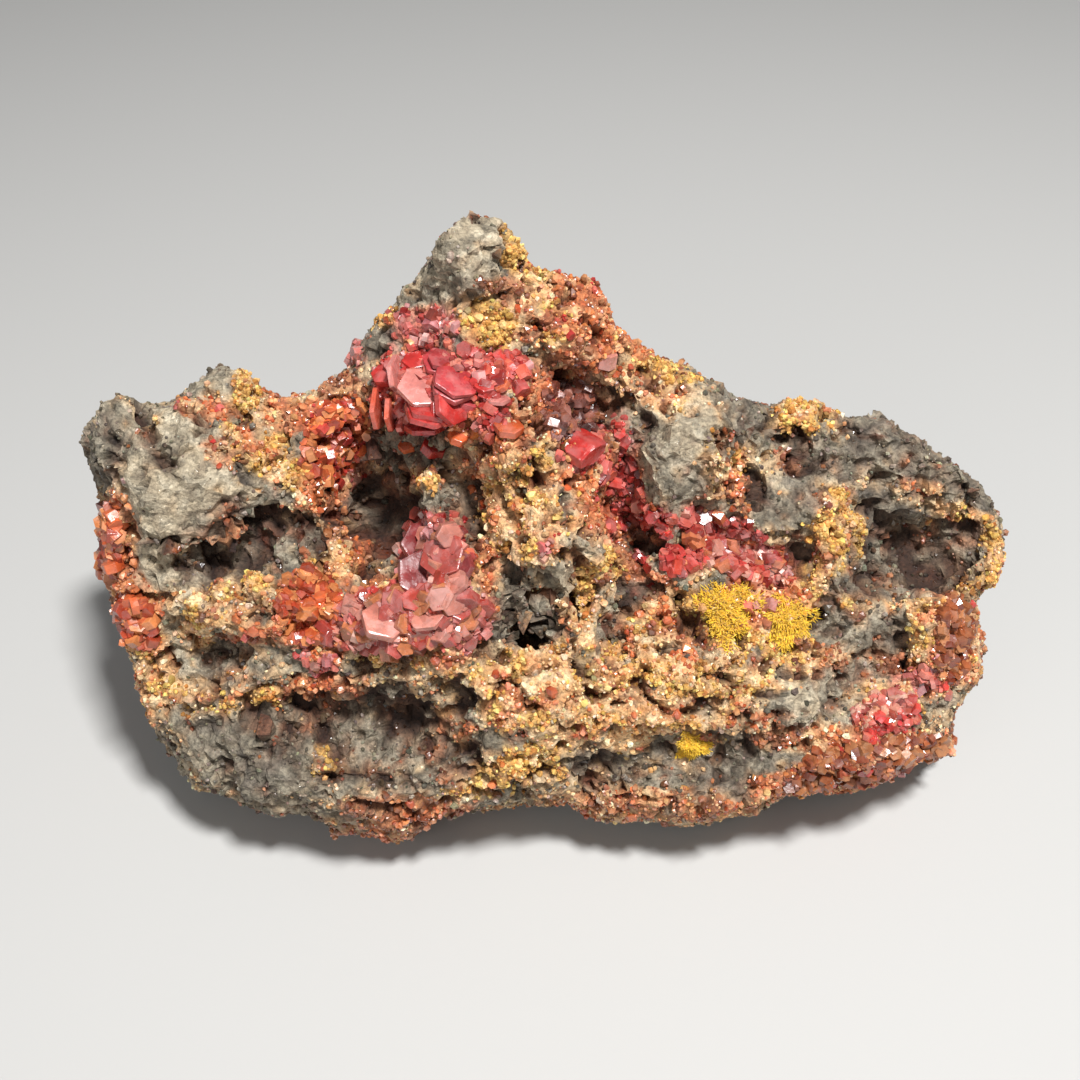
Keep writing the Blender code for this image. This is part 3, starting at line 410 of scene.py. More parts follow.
SHARDS = (
    Shard(-4.6, -8.8, 2.9, 2.3, -60.0, 1.6, Mineral.SLATE),
    Shard(2.6, -4.8, 3.3, 1.5, -38.0, 1.1, Mineral.PALE),
    Shard(6.6, -1.4, 2.4, 1.7, -30.0, 1.0, Mineral.PALE),
    Shard(-13.8, 5.2, 4.2, 1.4, -68.0, 1.6, Mineral.GREY),
    Shard(-20.2, 13.0, 1.8, 1.5, 10.0, 2.6, Mineral.GREY),
    Shard(-12.2, 26.0, 1.6, 1.2, -50.0, 1.0, Mineral.SLATE),
    Shard(34.6, -22.2, 4.0, 2.1, 12.0, 1.0, Mineral.PALE),
    Shard(-31.8, 12.6, 2.3, 1.8, 40.0, 1.0, Mineral.SLATE),
    Shard(-31.4, -3.1, 2.5, 2.0, 70.0, 1.2, Mineral.SLATE),
    Shard(-34.0, 6.8, 2.8, 1.7, -30.0, 0.9, Mineral.SLATE),
    Shard(-38.6, 9.4, 3.0, 1.4, -20.0, 0.8, Mineral.SLATE),
    Shard(11.0, 15.0, 1.6, 3.2, 10.0, 1.2, Mineral.PALE),
    Shard(28.8, -15.4, 1.9, 1.3, 20.0, 0.9, Mineral.GREY),
    Shard(-9.0, -23.5, 2.0, 1.4, 30.0, 1.0, Mineral.GREY),
    Shard(42.5, -12.5, 3.0, 2.0, 60.0, 1.0, Mineral.GREY),
    Shard(17.0, -27.5, 3.6, 1.5, 5.0, 0.9, Mineral.SLATE),
    Shard(25.5, 3.5, 2.2, 1.4, 50.0, 0.9, Mineral.GREY),
    Shard(-48.5, 10.5, 8.0, 5.5, 35.0, 1.2, Mineral.PALE),
    Shard(-45.5, 2.5, 6.5, 4.0, -10.0, 1.0, Mineral.PALE),
    Shard(-58.0, 13.5, 4.5, 3.2, 80.0, 0.8, Mineral.SLATE),
    Shard(-44.0, 19.5, 4.0, 2.4, 25.0, 0.8, Mineral.PALE),
    Shard(-12.5, 36.0, 4.4, 2.8, 48.0, 0.5, Mineral.PALE),
    Shard(-9.4, 42.2, 2.3, 1.1, 84.0, 0.8, Mineral.PALE),
    Shard(-12.2, 39.6, 2.8, 1.5, 52.0, 0.7, Mineral.PALE),
    Shard(-6.2, 39.6, 2.6, 1.6, -42.0, 0.6, Mineral.PALE),
    Shard(20.0, 14.0, 6.0, 4.5, -30.0, 1.2, Mineral.PALE),
    Shard(27.5, 17.0, 4.5, 3.5, -40.0, 0.9, Mineral.SLATE),
    Shard(45.0, 13.0, 6.0, 3.6, -20.0, 0.9, Mineral.SLATE),
    Shard(55.0, 8.0, 5.0, 2.6, -25.0, 0.8, Mineral.SLATE),
    Shard(-36.0, -29.0, 7.0, 3.4, -14.0, 0.8, Mineral.SLATE),
    Shard(-24.0, -27.0, 5.5, 2.4, -8.0, 1.0, Mineral.GREY),
    Shard(-15.0, -30.5, 4.0, 2.2, 10.0, 0.8, Mineral.GREY),
    Shard(39.0, 10.5, 4.0, 2.2, -10.0, 0.8, Mineral.SLATE),
    Shard(45.0, 15.9, 2.4, 1.3, 62.0, 0.6, Mineral.SLATE),
    Shard(4.9, -9.4, 3.6, 2.5, 80.0, 5.0, Mineral.TAN),
    Shard(-5.6, -12.4, 1.8, 1.4, 30.0, 3.0, Mineral.SLATE),
    Shard(59.0, 5.6, 2.4, 1.4, -60.0, 0.5, Mineral.SLATE),
)
SHARD_WEIGHT = 1.5


def field(points: np.ndarray, size: float, seed: float = 0.0) -> np.ndarray:
    """Smooth noise from about -1 to 1.

    Args:
        points: a row for each point, in metres.
        size: the size of the noise's blots, in mm.
        seed: moves the noise, so that fields of one size differ.

    Returns:
        A value for each point.
    """
    spots = points / (size * MM) + np.array((seed, seed * 1.7, -seed))
    return np.array([noise.noise(Vector(spot)) for spot in spots])


def broken(points: np.ndarray, size: float, octaves: int, seed: float = 0.0) -> np.ndarray:
    """Rough noise of several sizes, as broken stone has.

    Args:
        points: a row for each point, in metres.
        size: the size of the largest features, in mm.
        octaves: how many sizes it has, each half of the last.
        seed: moves the noise.

    Returns:
        A value for each point, mostly from -1 to 1.
    """
    spots = points / (size * MM) + np.array((seed, -seed, seed * 2.3))
    return np.array([noise.fractal(Vector(spot), 0.85, 2.1, octaves) for spot in spots])


def cells(points: np.ndarray, size: float, seed: float = 0.0) -> np.ndarray:
    """Distances to the nearest of scattered seeds, as in a heap of grains.

    Args:
        points: a row for each point, in metres.
        size: how far the seeds are apart, in mm.
        seed: moves the seeds.

    Returns:
        The distance of each point, in sizes.
    """
    spots = points / (size * MM) + np.array((seed, seed, seed))
    return np.array([noise.voronoi(Vector(spot))[0][0] for spot in spots])


def facets(points: np.ndarray, size: float, seed: float = 0.0) -> np.ndarray:
    """Flat tilted chips, as on freshly broken stone.

    Args:
        points: a row for each point, in metres.
        size: how wide a chip is, in mm.
        seed: moves the chips.

    Returns:
        A height for each point, mostly from -0.7 to 0.7, with a step between chips.
    """
    spots = points / (size * MM) + np.array((seed, -2.0 * seed, seed))
    heights = np.empty(len(spots))
    for i, spot in enumerate(spots):
        here = Vector(spot)
        middle = noise.voronoi(here)[1][0]
        tilt = noise.cell_vector(middle * 13.7) * 2.0 - Vector((1.0, 1.0, 1.0))
        heights[i] = tilt.dot(here - middle) + 0.5 * (noise.cell(middle * 5.3) - 0.5)
    return heights


# A point is pulled onto its flat only where its own normal agrees with the flat's: not at all
# below the first cosine and wholly above the second, by at most a share of the flat's width.
FLAT_AGREEMENT = (0.1, 0.65)
MOST_FLAT_SHIFT = 0.25


def flattened(points: np.ndarray, normals: np.ndarray, size: float, seed: int) -> np.ndarray:
    """How far to move each point of a fine skin, so that the skin breaks into flat faces.

    Args:
        points: the skin's points, evenly spaced, in metres.
        normals: the skin's outward normal at each point.
        size: how wide a face is, in mm.
        seed: sets where the faces lie.

    Returns:
        A shift for each point, in metres.
    """
    chance = np.random.default_rng(seed)
    spacing = np.median(np.linalg.norm(np.diff(points, axis=0), axis=1))
    count = int(len(points) * spacing**2 / (size * MM) ** 2)
    tree = KDTree(count)
    for number, point in enumerate(points[chance.choice(len(points), count, replace=False)]):
        tree.insert(point, number)
    tree.balance()
    home = np.array([tree.find(point)[1] for point in points])
    own = np.bincount(home, minlength=count)[:, None]
    middle = np.stack([np.bincount(home, points[:, i], count) for i in range(3)], axis=1) / own
    facing = np.stack([np.bincount(home, normals[:, i], count) for i in range(3)], axis=1)
    facing /= np.linalg.norm(facing, axis=1)[:, None]
    away = ((middle[home] - points) * facing[home]).sum(axis=1)
    away *= ramp((normals * facing[home]).sum(axis=1), *FLAT_AGREEMENT)
    most = MOST_FLAT_SHIFT * size * MM
    return facing[home] * np.clip(away, -most, most)[:, None]


def ramp(values: np.ndarray, low: float, high: float) -> np.ndarray:
    """Values turned into 0 below low and 1 above high, with a smooth step between."""
    share = np.clip((values - low) / (high - low), 0.0, 1.0)
    return share * share * (3.0 - 2.0 * share)


class MineralSurvey:
    """How much of each mineral lies at each point of a surface."""

    kinds: tuple[Mineral, ...] = tuple(Mineral)
    front_edge: tuple[float, float] = (-0.30, 0.0)
    patch_edge: tuple[float, float] = (0.75, 1.35)
    shard_edge: tuple[float, float] = (0.6, 1.15)
    coarse_mottle: float = 1.8
    fine_mottle: float = 1.2
    contrast: float = 2.4
    common_ground: float = 0.03

    def __init__(self, points: np.ndarray, normals: np.ndarray) -> None:
        """Survey a surface.

        Args:
            points: a row for each point, in metres.
            normals: the surface's outward normal at each point.
        """
        self.points = points
        self.front = ramp(DISPLAY.facing(points, normals), *self.front_edge)
        self.weights = self._front_weights() * self.front[:, None]
        self.weights += self._back_weights() * (1.0 - self.front[:, None])
        self.weights /= self.weights.sum(axis=1)[:, None]

    def _front_weights(self) -> np.ndarray:
        """The map's patches, with ragged edges, over a common ground of grey and tan.

        Returns:
            A row for each point, with a weight for each mineral.
        """
        right, up = DISPLAY.place(self.points)
        ragged = 0.34 * broken(self.points, 5.0, 4) + 0.30 * field(self.points, 1.6, 9.0)
        mapped = np.zeros((len(self.points), len(self.kinds)))
        for column, kind in enumerate(self.kinds):
            for patch in MINERAL_MAP[kind]:
                reach = patch.reach(right, up) + ragged
                here = patch.weight * (1.0 - ramp(reach, *self.patch_edge))
                mapped[:, column] = np.maximum(mapped[:, column], here)
        for shard in SHARDS:
            half_size = 0.5 * (shard.half_long + shard.half_wide)
            away = np.hypot(right - shard.right, up - shard.up) / half_size
            column = self.kinds.index(shard.stone)
            here = SHARD_WEIGHT * (1.0 - ramp(away + ragged, *self.shard_edge))
            mapped[:, column] = np.maximum(mapped[:, column], here)
        weights = mapped.copy()
        for kind, others in COMPANIONS.items():
            for other, share in others.items():
                extra = share * mapped[:, self.kinds.index(kind)]
                weights[:, self.kinds.index(other)] += extra
        for column, kind in enumerate(self.kinds):
            coarse = field(self.points, 2.6, 20.0 + 3.0 * column)
            fine = field(self.points, 1.1, 50.0 + 3.0 * column)
            mottle = self.coarse_mottle * coarse + self.fine_mottle * fine
            weights[:, column] *= np.exp(SWINGS.get(kind, 1.0) * mottle)
        weights = weights**self.contrast
        weights[:, self.kinds.index(Mineral.GREY)] += self.common_ground
        tan_ground = self.common_ground * ramp(ragged, -0.1, 0.2)
        weights[:, self.kinds.index(Mineral.TAN)] += tan_ground
        return weights

    def _back_weights(self) -> np.ndarray:
        """Broken grey stone with iron stains and a few crusted patches.

        Returns:
            A row for each point, with a weight for each mineral.
        """
        stain = broken(self.points, size=22.0, octaves=5, seed=31.0)
        crust = broken(self.points, size=15.0, octaves=5, seed=57.0)
        found = {
            Mineral.GREY: 1.0,
            Mineral.PALE: 0.8 * ramp(-stain, 0.15, 0.55),
            Mineral.RUST: 1.6 * ramp(stain, 0.10, 0.5),
            Mineral.TAN: 2.2 * ramp(crust, 0.25, 0.6),
            Mineral.ORANGE: 2.6 * ramp(crust * stain, 0.12, 0.35),
            Mineral.DARK: 0.8 * ramp(-crust, 0.3, 0.8),
        }
        weights = np.zeros((len(self.points), len(self.kinds)))
        for kind, weight in found.items():
            weights[:, self.kinds.index(kind)] = weight
        return weights

    def share(self, *kinds: Mineral) -> np.ndarray:
        """The share of some minerals together, from 0 to 1."""
        return sum(self.weights[:, self.kinds.index(kind)] for kind in kinds)

    def tint(self) -> np.ndarray:
        """The colour of the surface, which drifts between each mineral's deep and light tone.

        Returns:
            A row of red, green and blue for each point.
        """
        drift = np.clip(0.5 + 0.9 * field(self.points, 1.1, 80.0), 0.0, 1.0)[:, None]
        colour = np.zeros((len(self.points), 3))
        for column, kind in enumerate(self.kinds):
            common, light, deep = (np.array(tone) for tone in kind.value)
            shade = np.where(drift > 0.5, common + (light - common) * (2 * drift - 1), 0.0)
            shade = np.where(drift > 0.5, shade, deep + (common - deep) * (2 * drift))
            colour += self.weights[:, column : column + 1] * shade
        return colour


# ---------------------------------------------------------------- hands on meshes
def only(piece: bpy.types.Object) -> None:
    """Select one object alone and make it the active one.

    Args:
        piece: the object.
    """
    bpy.ops.object.select_all(action="DESELECT")
    piece.select_set(True)
    bpy.context.view_layer.objects.active = piece


def apply_modifier(piece: bpy.types.Object, kind: str, **settings: object) -> None:
    """Give a piece a modifier and apply it.

    Args:
        piece: the piece.
        kind: the modifier's type.
        settings: the modifier's own settings.
    """
    only(piece)
    bpy.ops.object.modifier_add(type=kind)
    modifier = piece.modifiers[-1]
    for name, value in settings.items():
        setattr(modifier, name, value)
    bpy.ops.object.modifier_apply(modifier=modifier.name)


def read(mesh: bpy.types.Mesh, what: str) -> np.ndarray:
    """Read a vector of every vertex.

    Args:
        mesh: the mesh.
        what: the vector's name, such as co or normal.

    Returns:
        A row for each vertex.
    """
    flat = np.empty(len(mesh.vertices) * 3)
    mesh.vertices.foreach_get(what, flat)
    return flat.reshape(-1, 3)


def write_points(mesh: bpy.types.Mesh, points: np.ndarray) -> None:
    """Move the mesh's vertices to these points."""
    mesh.vertices.foreach_set("co", points.ravel())
    mesh.update()


def paint(mesh: bpy.types.Mesh, name: str, colours: np.ndarray) -> None:
    """Store a colour for each vertex.

    Args:
        mesh: the mesh to paint.
        name: the colour attribute's name.
        colours: a row of red, green and blue for each vertex.
    """
    layer = mesh.color_attributes.new(name, "FLOAT_COLOR", "POINT")
    full = np.ones((len(colours), 4))
    full[:, :3] = colours
    layer.data.foreach_set("color", full.ravel())


def mesh_piece(name: str, points: np.ndarray, faces: np.ndarray) -> bpy.types.Object:
    """An object from arrays of points and triangles.

    Args:
        name: the object's name.
        points: a row for each vertex, in metres.
        faces: a row of three vertex numbers for each triangle.

    Returns:
        The linked object.
    """
    mesh = bpy.data.meshes.new(name)
    mesh.vertices.add(len(points))
    mesh.vertices.foreach_set("co", points.astype(np.float32).ravel())
    mesh.loops.add(faces.size)
    mesh.loops.foreach_set("vertex_index", faces.astype(np.int32).ravel())
    mesh.polygons.add(len(faces))
    mesh.polygons.foreach_set("loop_start", np.arange(0, faces.size, 3, dtype=np.int32))
    mesh.update(calc_edges=True)
    mesh.shade_flat()
    piece = bpy.data.objects.new(name, mesh)
    bpy.context.scene.collection.objects.link(piece)
    return piece


def dress(piece: bpy.types.Object, finish: bpy.types.Material, slot: str, *nodes: str) -> None:
    """Give a finished piece its material and its body, and hide the CAD nodes that it stands for.

    Args:
        piece: the finished piece.
        finish: its material.
        slot: the record's material slot; not used.
        nodes: the CAD nodes that it stands for.
    """
    piece.data.materials.clear()
    piece.data.materials.append(finish)
    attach(piece, "root")
    if nodes:
        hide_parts(*nodes)
    LOG.info("%s: %d faces", piece.name, len(piece.data.polygons))


# ---------------------------------------------------------------- shapes that repeat
class Shape(NamedTuple):
    """A small closed shape of about 1 in radius, which is copied many times."""

    points: np.ndarray
    faces: np.ndarray


def taken_as_shape(piece: bpy.types.Object) -> Shape:
    """Read a modelled object as triangles and remove it.

    Args:
        piece: the modelled object.

    Returns:
        Its shape, with outward normals.
    """
    only(piece)
    bpy.ops.object.mode_set(mode="EDIT")
    bpy.ops.mesh.select_all(action="SELECT")
    bpy.ops.mesh.quads_convert_to_tris()
    bpy.ops.mesh.normals_make_consistent(inside=False)
    bpy.ops.object.mode_set(mode="OBJECT")
    points = read(piece.data, "co")
    faces = np.array([tuple(face.vertices) for face in piece.data.polygons])
    bpy.data.objects.remove(piece, do_unlink=True)
    return Shape(points, faces)


def made_uneven(piece: bpy.types.Object, by: float, seed: int, cuts: int = 0) -> Shape:
    """Knock a modelled object's corners about and read it as a shape.

    Args:
        piece: the modelled object.
        by: how far a corner may move.
        seed: sets how the corners move.
        cuts: how many cuts each edge gets first, so that its faces are uneven too.

    Returns:
        The uneven shape.
    """
    only(piece)
    bpy.ops.object.mode_set(mode="EDIT")
    bpy.ops.mesh.select_all(action="SELECT")
    if cuts:
        bpy.ops.mesh.subdivide(number_cuts=cuts)
    bpy.ops.transform.vertex_random(offset=by, seed=seed)
    bpy.ops.object.mode_set(mode="OBJECT")
    return taken_as_shape(piece)


def crumb_shape(seed: int) -> Shape:
    """A broken crumb: a small double pyramid with its corners knocked about."""
    bpy.ops.mesh.primitive_uv_sphere_add(segments=6, ring_count=2, radius=1.0)
    return made_uneven(bpy.context.object, 0.38, seed)


def stone_chip_shape(seed: int, breaks: int = 9) -> Shape:
    """A chip of stone: a block broken along several planes, with its edges worn.

    Args:
        seed: sets where the planes lie.
        breaks: how many planes it is broken along.

    Returns:
        The chip's shape.
    """
    chance = random.Random(seed)
    bpy.ops.mesh.primitive_cube_add(size=2.0)
    piece = bpy.context.object
    only(piece)
    bpy.ops.object.mode_set(mode="EDIT")
    for _ in range(breaks):
        bpy.ops.mesh.select_all(action="SELECT")
        normal = Vector([chance.gauss(0.0, 1.0) for _ in range(3)]).normalized()
        bpy.ops.mesh.bisect(
            plane_co=normal * chance.uniform(0.72, 1.0),
            plane_no=normal,
            use_fill=True,
            clear_outer=True,
        )
    bpy.ops.object.mode_set(mode="OBJECT")
    apply_modifier(piece, "BEVEL", width=0.05, segments=1, limit_method="ANGLE")
    bpy.ops.object.mode_set(mode="EDIT")
    bpy.ops.mesh.select_all(action="SELECT")
    bpy.ops.mesh.quads_convert_to_tris()
    bpy.ops.object.mode_set(mode="OBJECT")
    return made_uneven(piece, 0.045, seed, cuts=2)


def prism_shape() -> Shape:
    """A plain six-sided prism, twice as wide as it is long."""
    bpy.ops.mesh.primitive_cylinder_add(vertices=6, radius=1.0, depth=1.0)
    return taken_as_shape(bpy.context.object)


def needle_shape() -> Shape:
    """A thin four-sided needle of length 1 that stands on the origin.

    Returns:
        The needle's shape.
    """
    bpy.ops.mesh.primitive_cone_add(
        vertices=4, radius1=1.0, radius2=0.35, depth=1.0, location=(0.0, 0.0, 0.5)
    )
    bpy.ops.object.transform_apply(location=True, rotation=True, scale=True)
    return taken_as_shape(bpy.context.object)


NEARLY_UPRIGHT = 0.9


@dataclass(frozen=True)
class CrystalForm:
    """A six-sided crystal of radius 1, whose ends step in as it grew.

    Each step is how far it goes in, and how far out.
    """

    waist: float
    steps: tuple[tuple[float, float], ...]
    worn: float = 0.0
    rounds: int = 1
    cuts: int = 0
    uneven: float = 0.05
    variants: int = 3

    def model(self, seed: int) -> Shape:
        """Model the crystal.

        Args:
            seed: sets how uneven it is.

        Returns:
            Its shape.
        """
        bpy.ops.mesh.primitive_cylinder_add(vertices=6, radius=1.0, depth=self.waist)
        piece = bpy.context.object
        for face in piece.data.polygons:
            face.select = abs(face.normal.z) > NEARLY_UPRIGHT
        bpy.ops.object.mode_set(mode="EDIT")
        for inward, outward in self.steps:
            bpy.ops.mesh.inset(thickness=inward, depth=outward)
        bpy.ops.object.mode_set(mode="OBJECT")
        if self.worn:
            bevel = {"width": self.worn, "segments": self.rounds, "limit_method": "ANGLE"}
            apply_modifier(piece, "BEVEL", **bevel)
        return made_uneven(piece, self.uneven, seed, self.cuts)


class Habit(Enum):
    """The crystals' shapes: flat with a growth step, bulging at the waist, or short and light."""

    TABLET = CrystalForm(1.0, ((0.16, 0.0), (0.03, 0.07)), worn=0.07)
    BARREL = CrystalForm(0.45, ((0.10, 0.20), (0.13, 0.075), (0.20, -0.05)), worn=0.05)
    STUB = CrystalForm(0.5, ((0.30, 0.24),), uneven=0.14, variants=5)


LONE_BARREL = CrystalForm(
    0.34,
    ((0.09, 0.17), (0.16, 0.12), (0.12, 0.02), (0.14, -0.05)),
    worn=0.09,
    rounds=2,
    cuts=2,
    uneven=0.022,
)

# Painted shade on grains, crystals and needles: how dark each is painted on the side it grows from,
# and how much more so in green and blue.
PAINTED_ROOT_SHADE = 0.35
PAINTED_ROOT_REDDENING = np.array((0.7, 1.1, 1.2))


def turns(chance: np.random.Generator, count: int) -> np.ndarray:
    """Random rotations.

    Args:
        chance: the source of randomness.
        count: how many.

    Returns:
        A 3 by 3 matrix for each.
    """
    q = chance.normal(size=(count, 4))
    q /= np.linalg.norm(q, axis=1)[:, None]
    w, x, y, z = q.T
    rows = (
        (1 - 2 * (y * y + z * z), 2 * (x * y - z * w), 2 * (x * z + y * w)),
        (2 * (x * y + z * w), 1 - 2 * (x * x + z * z), 2 * (y * z - x * w)),
        (2 * (x * z - y * w), 2 * (y * z + x * w), 1 - 2 * (x * x + y * y)),
    )
    return np.array(rows).transpose(2, 0, 1)


def stands(axes: np.ndarray, spin: np.ndarray) -> np.ndarray:
    """Rotations that stand +Z along each axis.

    Args:
        axes: a direction of length 1 for each copy.
        spin: the turn of each copy about its axis.

    Returns:
        A 3 by 3 matrix for each.
    """
    helper = np.where(np.abs(axes[:, 2:3]) < 0.9, (0.0, 0.0, 1.0), (1.0, 0.0, 0.0))
    first = np.cross(helper, axes)
    first /= np.linalg.norm(first, axis=1)[:, None]
    second = np.cross(axes, first)
    cos, sin = np.cos(spin)[:, None], np.sin(spin)[:, None]
    return np.stack((first * cos + second * sin, second * cos - first * sin, axes), axis=2)


def copies(
    name: str,
    shapes: tuple[Shape, ...],
    middles: np.ndarray,
    rotations: np.ndarray,
    sizes: np.ndarray,
    tints: np.ndarray,
    outward: np.ndarray,
) -> bpy.types.Object:
    """Many copies of a few shapes, joined into one mesh, each painted with its own tint.

    Each copy is painted with shade, darker on the side that it grows from.

    Args:
        name: the object's name.
        shapes: what is copied, in turn. All have as many points and faces.
        middles: the place of each copy.
        rotations: a 3 by 3 matrix for each copy.
        sizes: each copy's sizes along its own three axes, in metres.
        tints: a row of red, green and blue for each copy.
        outward: the way out of the rock at each copy.

    Returns:
        The joined object.
    """
    pick = np.arange(len(middles)) % len(shapes)
    local = np.stack([shape.points for shape in shapes])[pick] * sizes[:, None, :]
    turned = np.einsum("nij,npj->npi", rotations, local)
    points = turned + middles[:, None, :]
    # Painted shade: each point is darkened the nearer it lies to the side that the copy grows from.
    height = np.einsum("npi,ni->np", turned, outward)
    height /= np.abs(height).max(axis=1)[:, None]
    shade = PAINTED_ROOT_SHADE + (1.0 - PAINTED_ROOT_SHADE) * (0.5 + 0.5 * height)
    colours = tints[:, None, :] * shade[:, :, None] ** PAINTED_ROOT_REDDENING
    step = np.arange(len(middles))[:, None, None] * local.shape[1]
    faces = np.stack([shape.faces for shape in shapes])[pick] + step
    piece = mesh_piece(name, points.reshape(-1, 3), faces.reshape(-1, 3))
    paint(piece.data, "tint", colours.reshape(-1, 3))
    return piece


# ---------------------------------------------------------------- shader parts
class Graph:
    """A node tree, with short ways to add and to link its nodes."""

    def __init__(self, tree: bpy.types.NodeTree) -> None:
        """Work on a tree, emptied first."""
        tree.nodes.clear()
        self.tree = tree

    def feed(self, node: bpy.types.Node, sockets: dict[str | int, object]) -> bpy.types.Node:
        """Give a node's inputs their values; an output links to the input.

        Args:
            node: the node.
            sockets: values for its inputs, by name or number.

        Returns:
            The node.
        """
        for key, value in sockets.items():
            if isinstance(value, bpy.types.NodeSocket):
                self.tree.links.new(value, node.inputs[key])
            else:
                node.inputs[key].default_value = value
        return node

    def add(self, kind: str, sockets: dict | None = None, **settings: object) -> bpy.types.Node:
        """Add a node.

        Args:
            kind: the node's type, without its ShaderNode prefix.
            sockets: values or outputs for its inputs, by name or number.
            settings: its own settings.

        Returns:
            The node.
        """
        prefix = "" if kind.startswith("Node") else "ShaderNode"
        node = self.tree.nodes.new(prefix + kind)
        for name, value in settings.items():
            setattr(node, name, value)
        return self.feed(node, sockets or {})

    def math(self, operation: str, first: object, second: object = 0.0) -> bpy.types.NodeSocket:
        """One sum of two values or sockets."""
        return self.add("Math", {0: first, 1: second}, operation=operation).outputs[0]

    def blend(self, share: object, first: object, second: object) -> bpy.types.NodeSocket:
        """A colour between two colours: the first at share 0, the second at share 1."""
        return self.add("Mix", {0: share, 6: first, 7: second}, data_type="RGBA").outputs[2]

    def step(self, value: object, low: float, high: float) -> bpy.types.NodeSocket:
        """0 below low, 1 above high, and even between."""
        sockets = {0: value, 1: low, 2: high, 3: 0.0, 4: 1.0}
        return self.add("MapRange", sockets, clamp=True).outputs[0]

    def group(self, kind: bpy.types.NodeTree, sockets: dict) -> bpy.types.Node:
        """Place a shader group with these values and outputs for its inputs."""
        return self.add("Group", sockets, node_tree=kind)

    def bump(self, height: object, strength: float, depth: float) -> bpy.types.NodeSocket:
        """The normal of a surface with this height, which at 1 is so many metres."""
        sockets = {"Strength": strength, "Distance": depth, "Height": height}
        return self.add("Bump", sockets).outputs[0]


def new_material(name: str) -> tuple[bpy.types.Material, Graph]:
    """An empty material.

    Args:
        name: the material's name.

    Returns:
        The material and its tree, to be filled.
    """
    made = bpy.data.materials.new(name)
    made.use_nodes = True
    return made, Graph(made.node_tree)


def new_group(name: str, inputs: dict[str, str], outputs: dict[str, str]) -> Graph:
    """An empty shader group.

    Args:
        name: the group's name.
        inputs: each input's name and socket type, without its NodeSocket prefix.
        outputs: the same for the outputs.

    Returns:
        The group's tree, to be filled.
    """
    tree = bpy.data.node_groups.new(name, "ShaderNodeTree")
    for side, sockets in (("INPUT", inputs), ("OUTPUT", outputs)):
        for label, kind in sockets.items():
            tree.interface.new_socket(label, in_out=side, socket_type="NodeSocket" + kind)
    return Graph(tree)


def grit_group() -> bpy.types.NodeTree:
    """Grains of lighter and darker colour, with the height they stand at.

    Returns:
        The shader group.
    """
    graph = new_group(
        "grit",
        {"Tint": "Color", "Grains per m": "Float", "Contrast": "Float"},
        {"Colour": "Color", "Height": "Float"},
    )
    given = graph.add("NodeGroupInput").outputs
    place = graph.add("TexCoord").outputs["Object"]
    fine = graph.add(
        "TexNoise",
        {"Vector": place, "Scale": given["Grains per m"], "Detail": 4.0, "Roughness": 0.75},
    ).outputs["Fac"]
    grains = graph.add("TexVoronoi", {"Vector": place, "Scale": given["Grains per m"]})
    shade = graph.add("SeparateColor", {0: grains.outputs["Color"]}).outputs[0]
    both = graph.math("ADD", graph.math("MULTIPLY", fine, 1.3), graph.math("MULTIPLY", shade, 0.35))
    swing = graph.math("MULTIPLY", graph.math("SUBTRACT", both, 0.82), given["Contrast"])
    factor = graph.math("ADD", swing, 1.0)
    lit = graph.add("VectorMath", {0: given["Tint"]}, operation="SCALE")
    graph.tree.links.new(factor, lit.inputs["Scale"])
    height = graph.math("SUBTRACT", fine, graph.math("MULTIPLY", grains.outputs["Distance"], 0.4))
    graph.add("NodeGroupOutput", {"Colour": lit.outputs[0], "Height": height})
    return graph.tree


def glint_group() -> bpy.types.NodeTree:
    """A few small clean facets among dull ones, as a mask.

    Returns:
        The shader group.
    """
    inputs = {"Facets per m": "Float", "Rarity": "Float"}
    graph = new_group("glints", inputs, {"Mask": "Float"})
    given = graph.add("NodeGroupInput").outputs
    place = graph.add("TexCoord").outputs["Object"]
    facets = graph.add("TexVoronoi", {"Vector": place, "Scale": given["Facets per m"]})
    chance = graph.add("SeparateColor", {0: facets.outputs["Color"]}).outputs[1]
    mask = graph.math("GREATER_THAN", chance, given["Rarity"])
    graph.add("NodeGroupOutput", {"Mask": mask})
    return graph.tree


class ShaderParts:
    """The shader groups that the finishes share, each made once."""

    def __init__(self) -> None:
        """Make the groups."""
        self.grit = grit_group()
        self.glints = glint_group()


@dataclass(frozen=True)
class Finish:
    """A surface in its own tint and gritty: the ground of every finish here."""

    name: str
    grains_per_m: float
    contrast: float
    bump: float
    bump_depth: float

    def make(self, parts: ShaderParts) -> bpy.types.Material:
        """Build the material.

        Args:
            parts: the shared shader groups.

        Returns:
            The material.
        """
        made, graph = new_material(self.name)
        tint = graph.add("Attribute", attribute_name="tint").outputs["Color"]
        grit = graph.group(
            parts.grit,
            {"Tint": tint, "Grains per m": self.grains_per_m, "Contrast": self.contrast},
        )
        normal = graph.bump(grit.outputs["Height"], self.bump, self.bump_depth)
        sockets = {"Base Color": grit.outputs["Colour"], "Normal": normal}
        sockets |= self.own_sockets(graph, grit.outputs["Colour"], parts)
        shader = graph.add("BsdfPrincipled", sockets)
        graph.add("OutputMaterial", {"Surface": shader.outputs[0]})
        return made

    def own_sockets(
        self, graph: Graph, colour: bpy.types.NodeSocket, parts: ShaderParts
    ) -> dict[str, object]:
        """What a finish of one kind adds to the shader, or sets otherwise.

        Args:
            graph: the material's tree.
            colour: the gritty tint.
            parts: the shared shader groups.

        Returns:
            Values or outputs for the shader's inputs.
        """
        raise NotImplementedError


